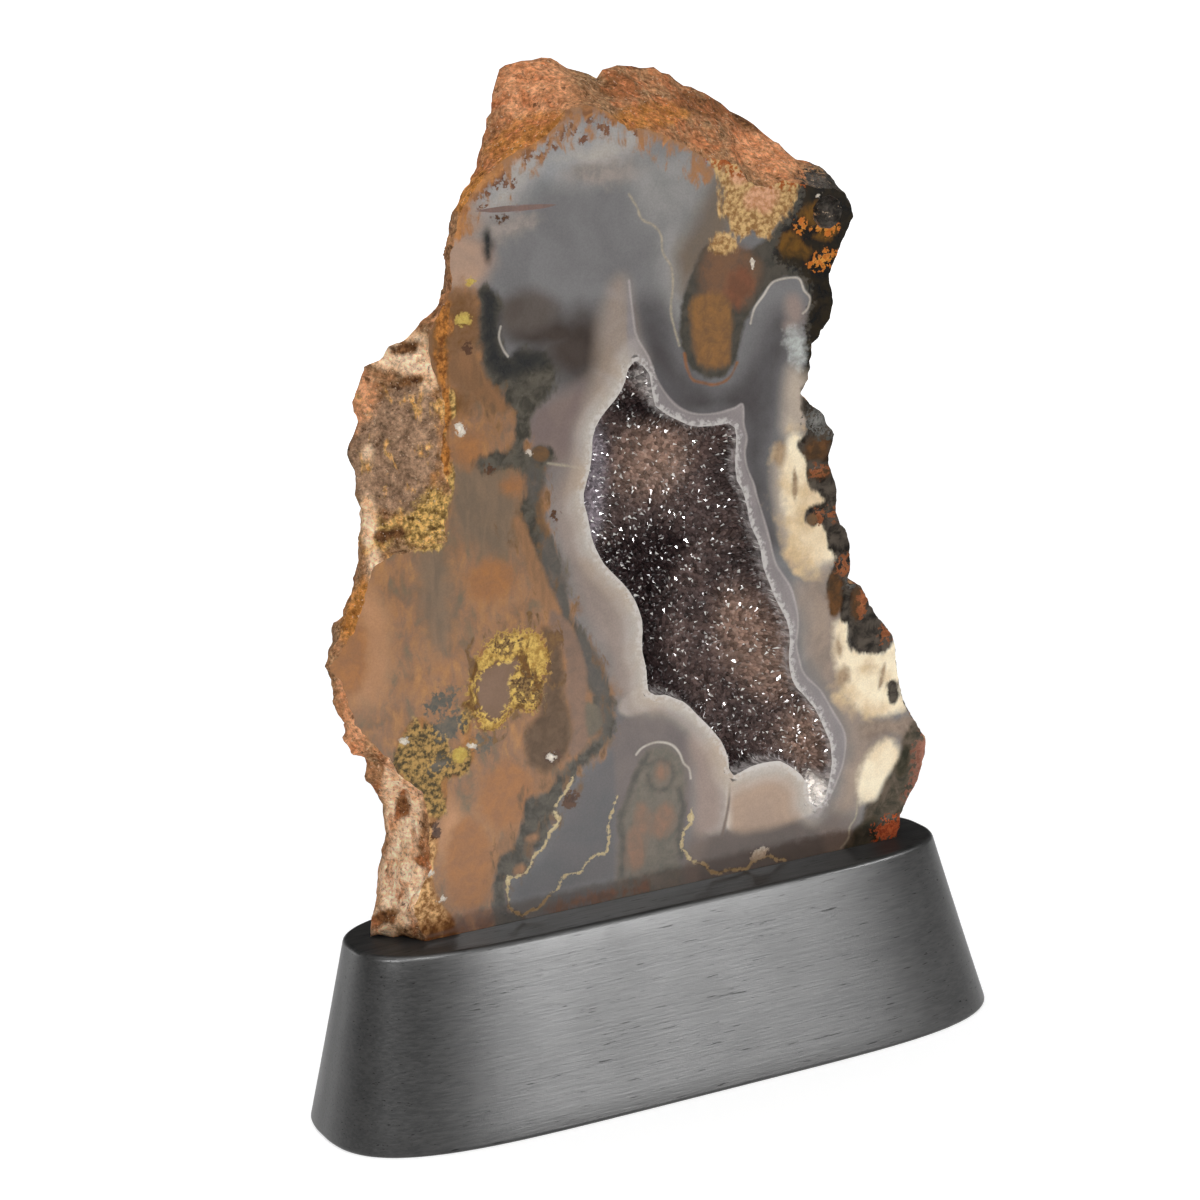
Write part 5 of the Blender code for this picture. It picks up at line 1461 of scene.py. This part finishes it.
def stand_material():
    """Black-stained wood with fine grain along its length and a satin finish."""
    material, tree, shader = new_material("black_wood")
    grain = stretched_noise(tree, *WOOD_GRAIN)
    shade = added_times(tree, stretched_noise(tree, *WOOD_FIGURE), WOOD_FIGURE_SHARE, grain)
    dull = stretched_noise(tree, *WOOD_DULLNESS)
    dull = added_times(tree, grain, WOOD_DULLNESS_GRAIN, dull)
    pores = ranged(tree, stretched_noise(tree, *WOOD_PORES), *WOOD_SPECULAR)
    top = ranged(tree, part_of(tree, "Normal", "Z"), *WOOD_TOP_DULLING)
    set_inputs(tree, shader, {
        "Base Color": mix_colours(tree, ranged(tree, shade, *WOOD_SHADE), *WOOD),
        "Roughness": ranged(tree, dull, *WOOD_ROUGHNESS), "IOR": LACQUER_IOR,
        "Specular IOR Level": times(tree, pores, top),
        "Normal": bumped(tree, grain, *WOOD_BUMP),
    })
    return material


# Stage

def build_floor():
    bpy.ops.mesh.primitive_plane_add(size=FLOOR_SIZE)
    floor = bpy.context.object
    floor.name = "floor"
    material, tree, shader = new_material("pale_floor")
    near = ranged(tree, part_of(tree, "Object", "Y"), *FLOOR_GLOW_NEAR)
    far = ranged(tree, part_of(tree, "Object", "Y"), *FLOOR_GLOW_FAR)
    set_inputs(tree, shader, {
        "Base Color": FLOOR_GREY, "Roughness": FLOOR_ROUGHNESS, "Specular IOR Level": 0.0,
        "Emission Color": WHITE, "Emission Strength": math_node(tree, "ADD", near, far),
    })
    floor.data.materials.append(material)


def build_world():
    world = bpy.data.worlds.new("studio")
    bpy.context.scene.world = world
    world.use_nodes = True
    tree = world.node_tree
    brightness = ranged(tree, part_of(tree, "Generated", "Y"), *STUDIO_GLOW)
    set_inputs(tree, tree.nodes["Background"], {"Strength": brightness})


def build_lights():
    for name, place, aim, width, height, power, glossy, diffuse in LIGHTS:
        data = bpy.data.lights.new(name, "AREA")
        data.shape = "RECTANGLE"
        data.size, data.size_y = width, height
        data.energy = power
        lamp = placed(data)
        lamp.location = place
        lamp.rotation_mode = "QUATERNION"
        lamp.rotation_quaternion = (Vector(aim) - Vector(place)).to_track_quat("-Z", "Y")
        lamp.visible_glossy = glossy
        lamp.visible_diffuse = diffuse


def build_camera():
    data = bpy.data.cameras.new("camera")
    data.lens = CAMERA_LENS
    data.sensor_width = CAMERA_SENSOR
    data.clip_start = CAMERA_CLIP
    camera = placed(data)
    back = [-part for part in CAMERA_FORWARD]
    rotation = Matrix((CAMERA_RIGHT, CAMERA_UP, back)).transposed()
    camera.matrix_world = Matrix.Translation(CAMERA_PLACE) @ rotation.to_4x4()
    bpy.context.scene.camera = camera


def add_face_values(mesh, rim):
    """The values that the face's material reads: its markings, and how far its edges are."""
    flat = mesh_places(mesh)[:, :2]
    gap = edge_distance(flat, rim)
    add_values(mesh, "rim_gap", -gap)
    add_values(mesh, "crust_gap", RIM_WIDTH - gap)
    add_values(mesh, "foot_gap", flat[:, 1])
    add_values(mesh, "left_side", np.clip(0.5 - beside_hollow(flat) / PEARL_FADE, 0.0, 1.0))
    add_markings(mesh, flat, MARKINGS, "face_roughness", POLISH)


def main():
    build_camera()
    build_floor()
    build_world()
    build_lights()
    bpy.context.scene.view_settings.view_transform = "Standard"

    polished = face_material()
    stone, rim = build_stone()
    stone.data.materials.append(polished)
    stone.data.materials.append(rind_material())
    add_face_values(stone.data, rim)
    seen = seen_on_face(mesh_places(stone.data))
    add_markings(stone.data, seen, RIND_ZONES, "rind_roughness", RIND_ROUGHNESS)
    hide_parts("agate_stone")
    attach(stone, "root")

    druse = build_druse(rim)
    druse.data.materials.append(polished)
    druse.data.materials.append(crystal_material())
    add_face_values(druse.data, rim)
    places = mesh_places(druse.data)[:, :2]
    for name, _, _, shapes in DRUSE_ZONES:
        add_shapes(druse.data, name, places, shapes)
    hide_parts("quartz_druse")
    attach(druse, "root")

    stand = build_stand()
    stand.data.materials.append(stand_material())
    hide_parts("wooden_stand")
    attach(stand, "root")


main()
